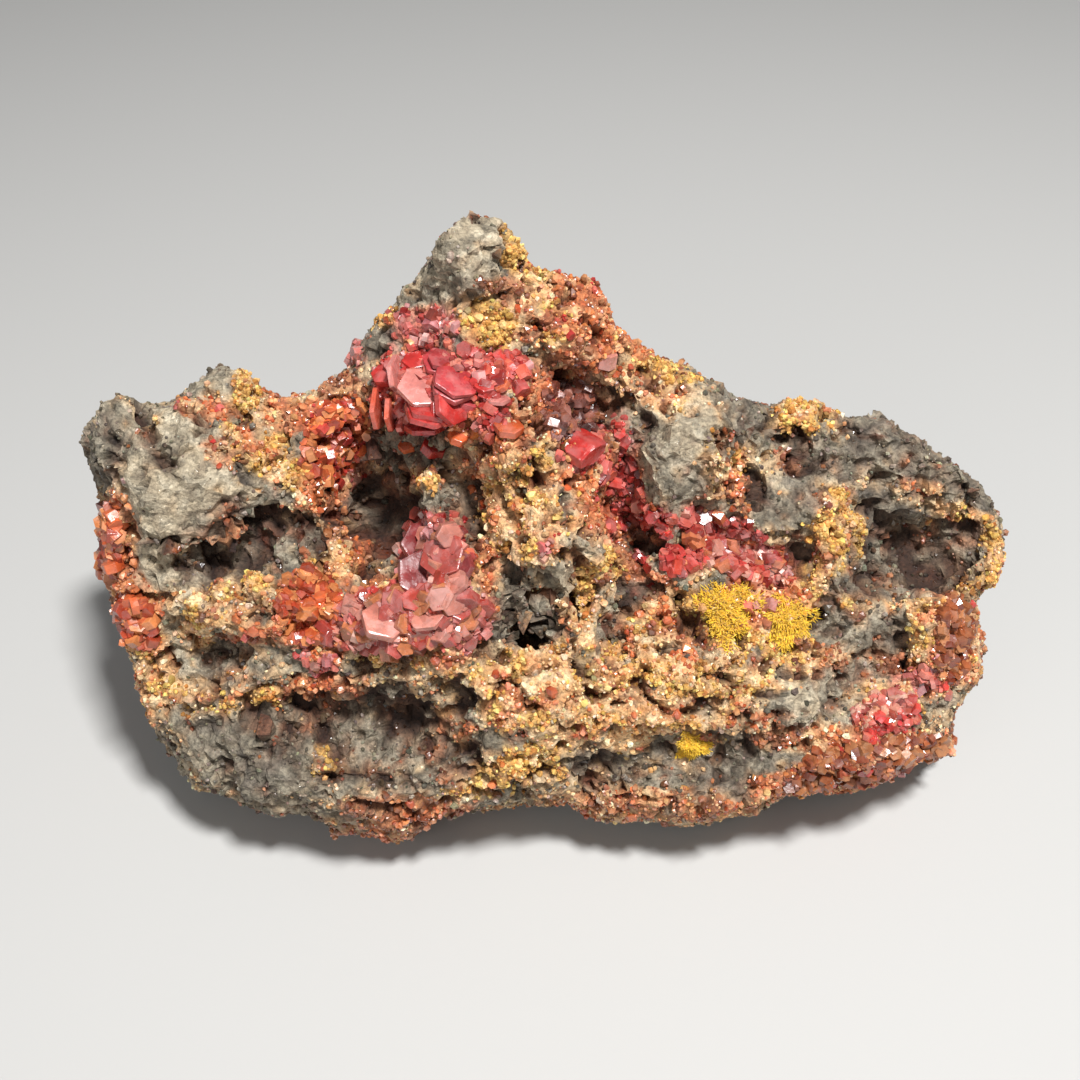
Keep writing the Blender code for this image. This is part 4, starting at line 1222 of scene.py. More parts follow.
@dataclass(frozen=True)
class StoneFinish(Finish):
    """Dull stone and crust, with a few glints."""

    grains_per_m: float = 2600.0
    contrast: float = 1.7
    bump: float = 0.7
    bump_depth: float = 0.35 * MM
    roughness: float = 0.80
    glint_roughness: float = 0.12
    glint_rarity: float = 0.95

    def own_sockets(
        self, graph: Graph, colour: bpy.types.NodeSocket, parts: ShaderParts
    ) -> dict[str, object]:
        """Rough all over but for the glints.

        Args:
            graph: the material's tree.
            colour: the gritty tint.
            parts: the shared shader groups.

        Returns:
            Values or outputs for the shader's inputs.
        """
        sockets = {"Facets per m": self.grains_per_m, "Rarity": self.glint_rarity}
        mask = graph.group(parts.glints, sockets).outputs["Mask"]
        dull = graph.math("MULTIPLY", mask, self.glint_roughness - self.roughness)
        return {"Roughness": graph.math("ADD", dull, self.roughness), "IOR": 1.5}


@dataclass(frozen=True)
class CrystalFinish(Finish):
    """Glassy crystal, with paler frosting in clouds."""

    grains_per_m: float = 900.0
    contrast: float = 0.9
    bump: float = 0.4
    bump_depth: float = 0.15 * MM
    roughness: float = 0.14
    frosted_roughness: float = 0.35
    frosting: float = 0.10
    frost: tuple[float, float, float, float] = (0.70, 0.36, 0.33, 1.0)
    clouds_per_m: float = 520.0
    glow: float = 0.0
    glow_depth: float = 1.2 * MM
    ior: float = 1.75

    def own_sockets(
        self, graph: Graph, colour: bpy.types.NodeSocket, parts: ShaderParts
    ) -> dict[str, object]:
        """Frosting that pales and dulls the crystal, and light that sinks in.

        Args:
            graph: the material's tree.
            colour: the gritty tint.
            parts: the shared shader groups.

        Returns:
            Values or outputs for the shader's inputs.
        """
        place = graph.add("TexCoord").outputs["Object"]
        cloud = graph.add(
            "TexNoise",
            {"Vector": place, "Scale": self.clouds_per_m, "Detail": 5.0, "Roughness": 0.6},
        ).outputs["Fac"]
        frosted = graph.math("MULTIPLY", graph.step(cloud, 0.46, 0.68), self.frosting)
        dull = graph.math("MULTIPLY", graph.step(cloud, 0.40, 0.7), self.frosted_roughness)
        return {
            "Base Color": graph.blend(frosted, colour, self.frost),
            "Roughness": graph.math("ADD", dull, self.roughness),
            "IOR": self.ior,
            "Subsurface Weight": self.glow,
            "Subsurface Scale": self.glow_depth,
            "Subsurface Radius": (1.0, 0.25, 0.15),
        }


@dataclass(frozen=True)
class TuftFinish(Finish):
    """Silky powder-yellow needles."""

    grains_per_m: float = 1800.0
    contrast: float = 0.8
    bump: float = 0.4
    bump_depth: float = 0.1 * MM

    def own_sockets(
        self, graph: Graph, colour: bpy.types.NodeSocket, parts: ShaderParts
    ) -> dict[str, object]:
        """A soft sheen, the same all over."""
        return {"Roughness": 0.6, "Sheen Weight": 0.3}


# ---------------------------------------------------------------- the rock
@dataclass(frozen=True)
class ShardMaker:
    """Angular blocks of stone that stand out of the rock."""

    thick: float = 0.8
    towards_eye: float = 0.5

    def build(self, skin: bpy.types.Object) -> None:
        """Join the blocks to the rock's skin.

        Args:
            skin: the copy of the solid rock.
        """
        tree = BVHTree.FromObject(skin, bpy.context.evaluated_depsgraph_get())
        pieces = [self._block(shard, seed, tree) for seed, shard in enumerate(SHARDS)]
        only(skin)
        for piece in pieces:
            piece.select_set(True)
        bpy.ops.object.join()

    def _block(self, shard: Shard, seed: int, tree: BVHTree) -> bpy.types.Object:
        """One block, turned on the display plane and sunk until it stands as proud as it should.

        Args:
            shard: the block's place and sizes.
            seed: sets how it is broken.
            tree: the rock that it sits on. A block whose line of sight passes beside the rock
                stands on that line, level with the rock's nearest point.

        Returns:
            The block.
        """
        ray = DISPLAY.sight(shard.right, shard.up)
        spot, facing, _, distance = tree.ray_cast(DISPLAY.eye, ray)
        if distance is None:
            near, _, _, _ = tree.find_nearest(DISPLAY.eye + ray * DISPLAY.distance)
            spot, facing = DISPLAY.eye + ray * (near - DISPLAY.eye).dot(ray), DISPLAY.out
        out = (facing + self.towards_eye * DISPLAY.out).normalized()
        half_thick = self.thick * min(shard.half_long, shard.half_wide)
        middle = spot + out * ((shard.proud - half_thick) * MM)
        turn = math.radians(shard.turn)
        along = DISPLAY.right * math.cos(turn) + DISPLAY.up * math.sin(turn)
        along = (along - out * along.dot(out)).normalized()
        rotation = np.array(Matrix((along, out.cross(along), out)).transposed())
        shape = stone_chip_shape(seed)
        sizes = np.array((shard.half_long, shard.half_wide, half_thick)) * MM
        points = (shape.points * sizes) @ rotation.T + np.array(middle)
        return mesh_piece(f"block_{seed}", points, shape.faces)


@dataclass
class MatrixRock:
    """The ore rock: the solid rock's shape, remeshed finely and broken up mineral by mineral."""

    finish: bpy.types.Material
    voxel: float = 0.46 * MM
    eased_turns: int = 3
    most_triangles: int = 196_000
    lump: float = 0.85 * MM
    crumb: float = 0.40 * MM
    pit: float = 2.3 * MM
    pore: float = 1.6 * MM
    break_depth: float = 0.45 * MM
    dark_depth: float = 2.0 * MM
    calm_heights: tuple[float, float] = (0.3 * MM, 2.5 * MM)
    sunk_depths: tuple[float, float] = (0.5 * MM, 2.0 * MM)
    # Painted shade: how much the rock under crusts and in pits is darkened, and in which colours.
    painted_shade_under: float = 0.22
    painted_shade_colour: tuple[float, float, float] = (0.50, 0.62, 0.70)
    painted_pit_shade: tuple[float, float, float] = (0.24, 0.15, 0.12)
    floor_clear: float = 0.02 * MM
    breaks: tuple[tuple[float, dict[Mineral, float], int], ...] = (
        (9.0, {Mineral.PALE: 0.95, Mineral.GREY: 0.5, Mineral.SLATE: 0.5, Mineral.DARK: 0.5}, 1),
        (3.8, {Mineral.GREY: 0.85, Mineral.SLATE: 0.9, Mineral.DARK: 0.8, Mineral.PALE: 0.2}, 2),
    )

    def build(self) -> "RockSurface":
        """Model the rock.

        Returns:
            Its finished surface, for what grows on it.
        """
        rock = self._skin()
        self._break_flat(rock)
        points, normals = read(rock.data, "co"), read(rock.data, "normal")
        survey = MineralSurvey(points, normals)
        depth = self._relief(points, survey)
        calm = ramp(points[:, 2], *self.calm_heights)
        points = points + normals * (depth * calm)[:, None]
        points[:, 2] = np.maximum(points[:, 2], self.floor_clear * (calm > 0))
        write_points(rock.data, points)
        sunk = ramp(-depth, *self.sunk_depths)
        paint(rock.data, "tint", self._tint(sunk, survey))
        paint(rock.data, "sunk", np.repeat(sunk[:, None], 3, axis=1))
        share = self.most_triangles / (2.0 * len(rock.data.polygons))
        apply_modifier(rock, "DECIMATE", ratio=min(1.0, share))
        rock.data.shade_flat()
        dress(rock, self.finish, "ore_rock", ROCK_NODE)
        return RockSurface(rock)

    def _skin(self) -> bpy.types.Object:
        """A fine even skin over the solid rock and its blocks, with its facets eased away.

        Returns:
            The skin.
        """
        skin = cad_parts[ROCK_NODE].copy()
        skin.data = skin.data.copy()
        skin.parent = None
        skin.name = "ore_rock"
        for key in list(skin.keys()):
            del skin[key]
        bpy.context.scene.collection.objects.link(skin)
        only(skin)
        bpy.ops.object.mode_set(mode="EDIT")
        bpy.ops.mesh.select_all(action="SELECT")
        bpy.ops.mesh.remove_doubles(threshold=0.001 * MM)
        bpy.ops.object.mode_set(mode="OBJECT")
        ShardMaker().build(skin)
        apply_modifier(skin, "REMESH", mode="VOXEL", voxel_size=self.voxel)
        apply_modifier(skin, "SMOOTH", factor=0.5, iterations=self.eased_turns)
        return skin

    def _break_flat(self, rock: bpy.types.Object) -> None:
        """Break the bare stone along flats: broad ones on pale stone, small ones on grey.

        Args:
            rock: the eased skin.
        """
        survey = MineralSurvey(read(rock.data, "co"), read(rock.data, "normal"))
        for size, shares, seed in self.breaks:
            points, normals = read(rock.data, "co"), read(rock.data, "normal")
            weight = sum(survey.share(kind) * share for kind, share in shares.items())
            weight *= ramp(points[:, 2], *self.calm_heights)
            shift = flattened(points, normals, size, seed)
            write_points(rock.data, points + shift * weight[:, None])

    def _relief(self, points: np.ndarray, survey: MineralSurvey) -> np.ndarray:
        """The relief that breaks up the eased skin: lumps on crusts, slabs and chips on stone.

        Args:
            points: the skin's points, in metres.
            survey: the minerals at these points.

        Returns:
            How far each point stands out, in metres.
        """
        crag = broken(points, size=9.0, octaves=5, seed=61.0)
        chips = 1.1 * facets(points, size=5.0, seed=7.0)
        chips = chips + 0.55 * facets(points, size=2.3, seed=8.0)
        near = cells(points, size=2.1, seed=3.0)
        near_small = cells(points, size=1.05, seed=5.0)
        holes = ramp(broken(points, size=4.2, octaves=4, seed=12.0), 0.26, 0.55)
        fine_holes = ramp(-field(points, size=2.0, seed=15.0), 0.18, 0.34)
        fine = field(points, size=0.9, seed=26.0)
        lumps = self.lump * 1.6 * (0.5 - near) + self.crumb * 1.5 * (0.45 - near_small)
        lumps += 0.7 * MM * crag - self.pit * holes - self.pore * fine_holes
        slabs = self.break_depth * chips + 0.35 * MM * crag - 0.9 * MM * holes
        slabs += 0.22 * MM * fine - 0.5 * MM * fine_holes
        pale = 0.18 * MM * chips + 0.08 * MM * crag + 0.12 * MM * fine
        dark = -self.dark_depth + 0.45 * MM * chips + 0.4 * MM * crag + 0.15 * MM * fine
        red = self.lump * (0.5 - near) + 0.5 * MM * crag - 0.9 * MM * holes
        others = {
            Mineral.GREY: slabs,
            Mineral.SLATE: slabs,
            Mineral.PALE: pale,
            Mineral.DARK: dark,
            Mineral.RED: red,
            Mineral.PINK: red * 0.5,
        }
        depth = survey.share(*CRUSTED) * lumps
        for kind, relief in others.items():
            depth += survey.share(kind) * relief
        return depth

    def _tint(self, sunk: np.ndarray, survey: MineralSurvey) -> np.ndarray:
        """The rock's colour, with painted shade under the crusts, between the grains and in the
        pits.

        Args:
            sunk: how far down in a pit each point is, from 0 to 1.
            survey: the minerals at these points.

        Returns:
            A row of red, green and blue for each point.
        """
        tint = survey.tint()
        # Painted shade under the crusts, so that the gaps between the grains look dark.
        covered = survey.share(*CRUSTED, Mineral.RED, Mineral.PINK)[:, None] * self.painted_shade_under
        tint = tint * (1.0 - covered * np.array(self.painted_shade_colour))
        # Painted shade in the pits, darker the deeper a point is sunk.
        deep = tint * np.array(self.painted_pit_shade)
        return tint * (1.0 - sunk[:, None]) + deep * sunk[:, None]


class RockSurface:
    """The finished rock's surface, which grains and crystals are seated on."""

    def __init__(self, rock: bpy.types.Object) -> None:
        """Read the surface.

        Args:
            rock: the finished rock.
        """
        self.points = read(rock.data, "co")
        colours = np.empty(len(self.points) * 4)
        rock.data.color_attributes["sunk"].data.foreach_get("color", colours)
        self.sunk = colours.reshape(-1, 4)[:, 0]
        rock.data.calc_loop_triangles()
        flat = np.empty(len(rock.data.loop_triangles) * 3, np.int32)
        rock.data.loop_triangles.foreach_get("vertices", flat)
        self.faces = flat.reshape(-1, 3)
        self.survey = MineralSurvey(self.points, read(rock.data, "normal"))
        self.tree = BVHTree.FromPolygons(self.points.tolist(), self.faces.tolist())

    def seat(self, right: float, up: float) -> tuple[Vector, Vector]:
        """Where the line of sight through a point of the display plane meets the rock.

        Args:
            right: the point's place across, in mm.
            up: the point's place up, in mm.

        Returns:
            The place, and the way the surface faces there. A line that passes beside the rock
            gets the nearest point of its edge.
        """
        ray = DISPLAY.sight(right, up)
        spot, facing, _, distance = self.tree.ray_cast(DISPLAY.eye, ray)
        if distance is None:
            spot, facing, _, _ = self.tree.find_nearest(DISPLAY.eye + ray * DISPLAY.distance)
        return spot, facing


# ---------------------------------------------------------------- grains
@dataclass(frozen=True)
class GrainKind:
    """How one mineral's small grains look and how many of them there are."""

    mineral: Mineral
    piece: str
    slot: str
    crowd: float
    radius: float
    long: float
    prismatic: bool


GRAIN_KINDS = (
    GrainKind(Mineral.TAN, "tan_grains", "ore_rock", 9.5, 0.19, 1.0, False),
    GrainKind(Mineral.GOLD, "gold_grains", "ore_rock", 6.8, 0.21, 1.0, False),
    GrainKind(Mineral.ORANGE, "orange_grains", "orange_crystal", 4.6, 0.26, 1.0, False),
    GrainKind(Mineral.RUST, "rust_grains", "orange_crystal", 2.4, 0.25, 1.0, False),
    GrainKind(Mineral.RED, "red_grains", "red_crystal", 3.8, 0.36, 0.8, True),
    GrainKind(Mineral.PINK, "pink_grains", "pink_crystal", 2.2, 0.45, 0.6, True),
    GrainKind(Mineral.GREY, "grey_chips", "ore_rock", 0.55, 0.20, 0.7, False),
    # Dark grains in the dark patches; their colour is partly dark stone, partly painted shade.
    GrainKind(Mineral.DARK, "dark_and_shade_grains", "orange_crystal", 0.5, 0.26, 1.0, False),
)


@dataclass
class GrainField:
    """Small grains strewn over the rock wherever their mineral lies."""

    surface: RockSurface
    finishes: dict[Mineral, bpy.types.Material]
    most_triangles: int = 172_000
    behind: float = 0.35
    bare_pits: float = 0.9
    spread: float = 0.40
    largest: float = 2.6
    lowest: float = 1.2 * MM
    no_area: float = 1e-15
    least_share: tuple[float, float] = (0.08, 0.6)
    seed: int = 11

    def build(self) -> None:
        """Make every kind's piece."""
        shapes = {True: (prism_shape(),), False: tuple(crumb_shape(seed) for seed in range(6))}
        for number, kind in enumerate(GRAIN_KINDS):
            chance = np.random.default_rng(self.seed + number)
            self._strew(kind, shapes[kind.prismatic], chance)

    def _strew(
        self, kind: GrainKind, shapes: tuple[Shape, ...], chance: np.random.Generator
    ) -> None:
        """Strew one kind of grain.

        Args:
            kind: the grain's kind.
            shapes: its shapes.
            chance: the source of randomness.
        """
        corners = self.surface.points[self.surface.faces]
        sides = np.cross(corners[:, 1] - corners[:, 0], corners[:, 2] - corners[:, 0])
        area = np.linalg.norm(sides, axis=1) / 2.0
        normal = sides / np.maximum(2.0 * area, self.no_area)[:, None]
        share = self.surface.survey.share(kind.mineral)[self.surface.faces].mean(axis=1)
        front = self.surface.survey.front[self.surface.faces].mean(axis=1)
        wanted = area / MM**2 * kind.crowd * ramp(share, *self.least_share)
        wanted *= self.behind + (1.0 - self.behind) * front
        sunk = self.surface.sunk[self.surface.faces].mean(axis=1)
        wanted *= 1.0 - self.bare_pits * sunk
        most = self.most_triangles // len(shapes[0].faces)
        wanted *= min(1.0, most / wanted.sum())
        counts = chance.poisson(wanted)
        where = np.repeat(np.arange(len(counts)), counts)
        where = where[corners[where, :, 2].min(axis=1) > self.lowest][:most]
        mix = chance.dirichlet((1.0, 1.0, 1.0), len(where))
        spots = (corners[where] * mix[:, :, None]).sum(axis=1)
        radius = kind.radius * MM * np.exp(self.spread * chance.normal(size=len(where)))
        radius = np.minimum(radius, self.largest * kind.radius * MM)
        sizes = radius[:, None] * chance.uniform(0.75, 1.2, (len(where), 3))
        if kind.prismatic:
            sizes[:, 2] *= kind.long * chance.uniform(0.9, 2.6, len(where))
        spots += normal[where] * (radius * chance.uniform(-0.35, 0.45, len(where)))[:, None]
        rotations = turns(chance, len(where))
        tints = self._tints(kind, where, chance)
        piece = copies(kind.piece, shapes, spots, rotations, sizes, tints, normal[where])
        dress(piece, self.finishes[kind.mineral], kind.slot)

    def _tints(
        self, kind: GrainKind, where: np.ndarray, chance: np.random.Generator
    ) -> np.ndarray:
        """Each grain's colour: one of its mineral's, shaded by chance, with painted shade on grains
        down in pits.

        Args:
            kind: the grain's kind.
            where: the face that each grain sits on.
            chance: the source of randomness.

        Returns:
            A row of red, green and blue for each grain.
        """
        tones = np.array(kind.mineral.value)
        pick = chance.choice(3, len(where), p=(0.45, 0.30, 0.25))
        shade = chance.triangular(0.55, 1.1, 1.45, (len(where), 1))
        tilt = chance.normal(1.0, 0.07, (len(where), 3))
        # Painted shade: grains down in pits are darkened.
        sunk = self.surface.sunk[self.surface.faces[where, 0]][:, None]
        return np.clip(tones[pick] * shade * tilt * (1.0 - 0.6 * sunk), 0.0, 1.0)


# ---------------------------------------------------------------- crystals
class Crystal(NamedTuple):
    """One placed crystal: mm right and up, radius, length, its axis, and which tone it has."""

    right: float
    up: float
    radius: float
    length: float
    axis_right: float
    axis_up: float
    axis_out: float
    tone: int = 0


class Growth(NamedTuple):
    """One crystal as it grows: its place and sizes in mm, and its turn and shift on its axis."""

    habit: Habit
    right: float
    up: float
    radius: float
    length: float
    axis: Vector
    turn: float
    shift: float = 0.0
    tone: int | None = None


class CrystalPatch(NamedTuple):
    """An oval that a group of crystals fills, and what they measure, in mm and degrees."""

    right: float
    up: float
    half_width: float
    half_height: float
    turn: float
    count: int
    least: float
    largest: float
    aspect: float


@dataclass(frozen=True)
class CrystalTones:
    """A group's colours. The first few are mixed in patches; placed crystals name theirs."""

    tones: tuple[tuple[float, float, float], ...]
    mixed: int = 3

    def pick(self, chance: random.Random, number: int | None) -> tuple[float, float, float]:
        """One crystal's colour.

        Args:
            chance: the source of randomness.
            number: the number of its tone, or none for a mixed one.

        Returns:
            Its red, green and blue.
        """
        tone = self.tones[chance.randrange(self.mixed) if number is None else number]
        shade = chance.uniform(0.8, 1.15)
        return tuple(min(1.0, part * shade) for part in tone)


RED_TONES = CrystalTones(
    (
        (0.48, 0.035, 0.030),
        (0.56, 0.10, 0.055),
        (0.34, 0.02, 0.016),
        (0.60, 0.22, 0.19),
        (0.42, 0.05, 0.055),
        (0.62, 0.22, 0.06),
        (0.54, 0.11, 0.035),
    )
)
ORANGE_TONES = CrystalTones(
    ((0.50, 0.10, 0.032), (0.60, 0.21, 0.07), (0.34, 0.045, 0.018), (0.42, 0.03, 0.02))
)
PINK_TONES = CrystalTones(
    (
        (0.38, 0.07, 0.055),
        (0.52, 0.20, 0.15),
        (0.38, 0.05, 0.034),
        (0.50, 0.17, 0.07),
        (0.25, 0.042, 0.042),
    ),
    mixed=4,
)
UMBER_TONES = CrystalTones(((0.30, 0.085, 0.03), (0.42, 0.17, 0.07), (0.19, 0.04, 0.018)))
MAUVE_TONES = CrystalTones(((0.15, 0.040, 0.024), (0.27, 0.095, 0.060), (0.06, 0.017, 0.012)))
ROSE_TONES = CrystalTones(
    ((0.46, 0.09, 0.065), (0.58, 0.25, 0.19), (0.52, 0.16, 0.07), (0.27, 0.03, 0.022)), mixed=4
)
SHOULDER_TONES = CrystalTones(((0.54, 0.20, 0.13), (0.64, 0.34, 0.24), (0.44, 0.09, 0.06)))
TUFT_TONE = (1.0, 0.66, 0.04)


@dataclass
class CrystalGroup:
    """A group of crystals that stands for one CAD node."""

    node: str
    name: str
    slot: str
    tones: CrystalTones
    finish: bpy.types.Material
    placed: tuple[Crystal, ...] = ()
    patches: tuple[CrystalPatch, ...] = ()
    lone: bool = False
    crowd: float = 3.4
    past_edge: float = 1.1
    golden_turn: float = 2.4
    lean: float = 0.8
    small: float = 0.55
    proud: float = 0.18
    plate: float = 0.8
    blade: float = 2.2
    stubby: float = 1.0
    longest_stack: float = 1.3
    longest_tablet: float = 1.15
    seed: int = 7

    def build(self, surface: RockSurface, shapes: dict[Habit, tuple[Shape, ...]]) -> None:
        """Model the group.

        Args:
            surface: the rock that it grows on.
            shapes: the crystals' shapes.
        """
        chance = random.Random(self.seed)
        grown: list[Growth] = []
        for number, one in enumerate(self.placed):
            grown += self._placed(one, number, chance)
        for patch in self.patches:
            grown += self._strewn(patch, surface, chance)
        made = []
        for habit, forms in shapes.items():
            mine = [one for one in grown if one.habit is habit]
            if mine:
                made.append(self._copied(mine, forms, surface, chance))
        only(made[0])
        for other in made[1:]:
            other.select_set(True)
        if len(made) > 1:
            bpy.ops.object.join()
        made[0].name = self.name
        dress(made[0], self.finish, self.slot, self.node)

    def _placed(self, one: Crystal, number: int, chance: random.Random) -> list[Growth]:
        """A placed crystal: one barrel, or a stack of thin plates grown side by side.

        Args:
            one: the crystal.
            number: its number in the group.
            chance: the source of randomness.

        Returns:
            The barrel, or the plates.
        """
        axis = DISPLAY.right * one.axis_right + DISPLAY.up * one.axis_up
        axis = (axis + DISPLAY.out * one.axis_out).normalized()
        turn = 0.3 * number
        if one.length > self.longest_stack * one.radius:
            where = (one.right, one.up, one.radius, one.length)
            return [Growth(Habit.BARREL, *where, axis, turn, tone=one.tone)]
        plates = max(1, round(one.length / self.plate))
        grown = []
        for i in range(plates):
            right = one.right + chance.uniform(-0.12, 0.12) * one.radius
            up = one.up + chance.uniform(-0.12, 0.12) * one.radius
            radius = one.radius * chance.uniform(0.78, 1.0)
            length = one.length / plates * chance.uniform(0.55, 0.9)
            lean = axis + Vector([chance.uniform(-0.08, 0.08) for _ in range(3)])
            spin = turn + chance.uniform(-0.2, 0.2)
            shift = ((i + 0.5) / plates - 0.5) * one.length
            where = (right, up, radius, length, lean.normalized())
            grown.append(Growth(Habit.TABLET, *where, spin, shift, one.tone))
        return grown

    def _strewn(
        self, patch: CrystalPatch, surface: RockSurface, chance: random.Random
    ) -> list[Growth]:
        """A patch's crystals, spread evenly, leaning every way, small ones between the large.

        Args:
            patch: the oval that they fill.
            surface: the rock that they grow on.
            chance: the source of randomness.

        Returns:
            The crystals.
        """
        cos, sin = math.cos(math.radians(patch.turn)), math.sin(math.radians(patch.turn))
        count = int(patch.count * self.crowd)
        grown = []
        for i in range(count):
            reach = math.sqrt((i + 0.4) / count) * self.past_edge
            across = patch.half_width * reach * math.cos(self.golden_turn * i)
            along = patch.half_height * reach * math.sin(self.golden_turn * i)
            right = patch.right + across * cos - along * sin
            up = patch.up + across * sin + along * cos
            _, facing = surface.seat(right, up)
            tilt = Vector([chance.uniform(-self.lean, self.lean) for _ in range(3)])
            size = 1.0 if i % 2 == 0 else self.small
            radius = chance.uniform(patch.least, patch.largest) * size
            length = radius * patch.aspect * chance.uniform(0.7, 1.3)
            habit = Habit.TABLET if length < self.longest_tablet * radius else Habit.BARREL
            habit = Habit.STUB if radius < self.stubby else habit
            axis = (facing + tilt).normalized()
            turn = chance.uniform(0.0, 1.0)
            grown.append(Growth(habit, right, up, radius, length, axis, turn))
        return grown

    def _copied(
        self,
        grown: list[Growth],
        shapes: tuple[Shape, ...],
        surface: RockSurface,
        chance: random.Random,
    ) -> bpy.types.Object:
        """Copies of one habit's shapes, seated on the rock.

        Args:
            grown: the crystals of this habit.
            shapes: the habit's shapes.
            surface: the rock that they grow on.
            chance: the source of randomness.

        Returns:
            The joined crystals.
        """
        middles, sizes, tints, ways_out = [], [], [], []
        for one in grown:
            spot, facing = surface.seat(one.right, one.up)
            out = (facing + DISPLAY.out).normalized()
            middle = spot + out * (self.proud * one.radius * MM)
            middles.append(middle + one.axis * (one.shift * MM))
            is_blade = one.length > self.blade * one.radius
            flat = 0.5 if is_blade else chance.uniform(0.85, 1.0)
            sizes.append((one.radius * MM, one.radius * MM * flat, one.length * MM))
            tints.append(self.tones.pick(chance, one.tone))
            ways_out.append(out)
        axes, turn = np.array([one.axis for one in grown]), np.array([one.turn for one in grown])
        where = (np.array(middles), stands(axes, turn), np.array(sizes))
        return copies(self.name, shapes, *where, np.array(tints), np.array(ways_out))


# ---------------------------------------------------------------- yellow tufts
@dataclass
class NeedleTuft:
    """A low dome of fine yellow needles that spread from the rock."""

    node: str
    right: float
    up: float
    half_width: float
    half_height: float
    height: float
    finish: bpy.types.Material
    needles: int = 2200
    thickness: float = 0.085 * MM
    scatter: float = 0.55
    dome: float = 0.45
    farthest: float = 2.0

    def build(self, surface: RockSurface, seed: int) -> None:
        """Model the tuft.

        Args:
            surface: the rock that it grows on.
            seed: sets the needles' places.
        """
        chance = np.random.default_rng(seed)
        spot, facing = surface.seat(self.right, self.up)
        bases, axes, lengths = [], [], []
        for _ in range(self.needles):
            angle, reach = chance.uniform(0.0, math.tau), math.sqrt(chance.uniform(0.0, 1.0))
            edge = 0.80 + 0.24 * math.sin(3.0 * angle + seed) + 0.16 * math.sin(7.0 * angle)
            edge += abs(chance.normal(0.0, 0.12))
            across, along = reach * math.cos(angle) * edge, reach * math.sin(angle) * edge
            base, normal = surface.seat(
                self.right + self.half_width * across, self.up + self.half_height * along
            )
            if (base - spot).length > self.farthest * max(self.half_width, self.half_height) * MM:
                continue
            outward = DISPLAY.right * across + DISPLAY.up * along
            axis = facing * 0.6 + normal * 0.4 + outward * 0.5
            axis += Vector(chance.normal(0.0, self.scatter, 3))
            lift = facing * (self.height * MM * self.dome * (1.0 - reach * reach))
            bases.append(base + lift * chance.uniform(-0.2, 1.0))
            axes.append(axis.normalized())
            lengths.append(self.height * MM * chance.uniform(0.2, 0.5))
        lengths = np.array(lengths)
        widths = np.full((len(lengths), 2), self.thickness)
        tints = np.array(TUFT_TONE) * chance.uniform(0.7, 1.15, (len(lengths), 1))
        piece = copies(
            self.node + "_needles",
            (needle_shape(),),
            np.array(bases),
            stands(np.array(axes), np.zeros(len(lengths))),
            np.column_stack((widths, lengths)),
            np.clip(tints, 0.0, 1.0),
            np.array(axes),
        )
        dress(piece, self.finish, "yellow_tuft", self.node)


# ---------------------------------------------------------------- the studio
class Lamp(NamedTuple):
    """A square soft lamp: its place and side in metres, and its power in watts."""

    name: str
    place: tuple[float, float, float]
    side: float
    power: float


@dataclass(frozen=True)
class Studio:
    """The pale floor, the soft lights and the camera."""

    floor_half: float = 2.5
    floor_tone: tuple[float, float, float, float] = (0.50, 0.495, 0.48, 1.0)
    sky_tone: tuple[float, float, float, float] = (0.96, 0.97, 1.0, 1.0)
    sky_strength: float = 0.12
    aim: tuple[float, float, float] = (0.0, 0.0, 0.03)
    sensor_width: float = 36.0
    focal_length: float = 43.33
    lamps: tuple[Lamp, ...] = (
        Lamp("key", (0.13, -0.19, 0.59), 0.08, 5.9),
        Lamp("fill", (-0.30, -0.62, 0.42), 0.6, 1.6),
    )

    def build(self) -> None:
        """Set the studio up."""
        self._floor()
        for lamp in self.lamps:
            self._hang(lamp)
        self._camera()
        bpy.context.scene.view_settings.view_transform = "Standard"
        world = bpy.data.worlds.new("studio")
        bpy.context.scene.world = world
        world.use_nodes = True
        sky = world.node_tree.nodes["Background"]
        sky.inputs["Color"].default_value = self.sky_tone
        sky.inputs["Strength"].default_value = self.sky_strength

    def _floor(self) -> None:
        """Lay a plain pale floor."""
        bpy.ops.object.select_all(action="DESELECT")
        bpy.ops.mesh.primitive_plane_add(size=2.0 * self.floor_half)
        floor = bpy.context.object
        floor.name = "floor"
        paint_floor = bpy.data.materials.new("pale_floor")
        paint_floor.use_nodes = True
        shader = paint_floor.node_tree.nodes["Principled BSDF"]
        shader.inputs["Base Color"].default_value = self.floor_tone
        shader.inputs["Roughness"].default_value = 0.9
        floor.data.materials.append(paint_floor)

    def _hang(self, lamp: Lamp) -> None:
        """Hang a lamp that looks at the specimen.

        Args:
            lamp: the lamp.
        """
        data = bpy.data.lights.new(lamp.name, "AREA")
        data.size = lamp.side
        data.energy = lamp.power
        hung = bpy.data.objects.new(lamp.name, data)
        hung.location = lamp.place
        towards = Vector(self.aim) - Vector(lamp.place)
        hung.rotation_euler = towards.to_track_quat("-Z", "Y").to_euler()
        bpy.context.scene.collection.objects.link(hung)

    def _camera(self) -> None:
        """Set a camera at the display's eye, looking straight at its plane."""
        data = bpy.data.cameras.new("camera")
        data.sensor_width = self.sensor_width
        data.lens = self.focal_length
        data.clip_start = 0.01
        camera = bpy.data.objects.new("camera", data)
        camera.location = DISPLAY.eye
        camera.rotation_euler = (math.radians(90.0) - DISPLAY.tilt, 0.0, 0.0)
        bpy.context.scene.collection.objects.link(camera)
        bpy.context.scene.camera = camera


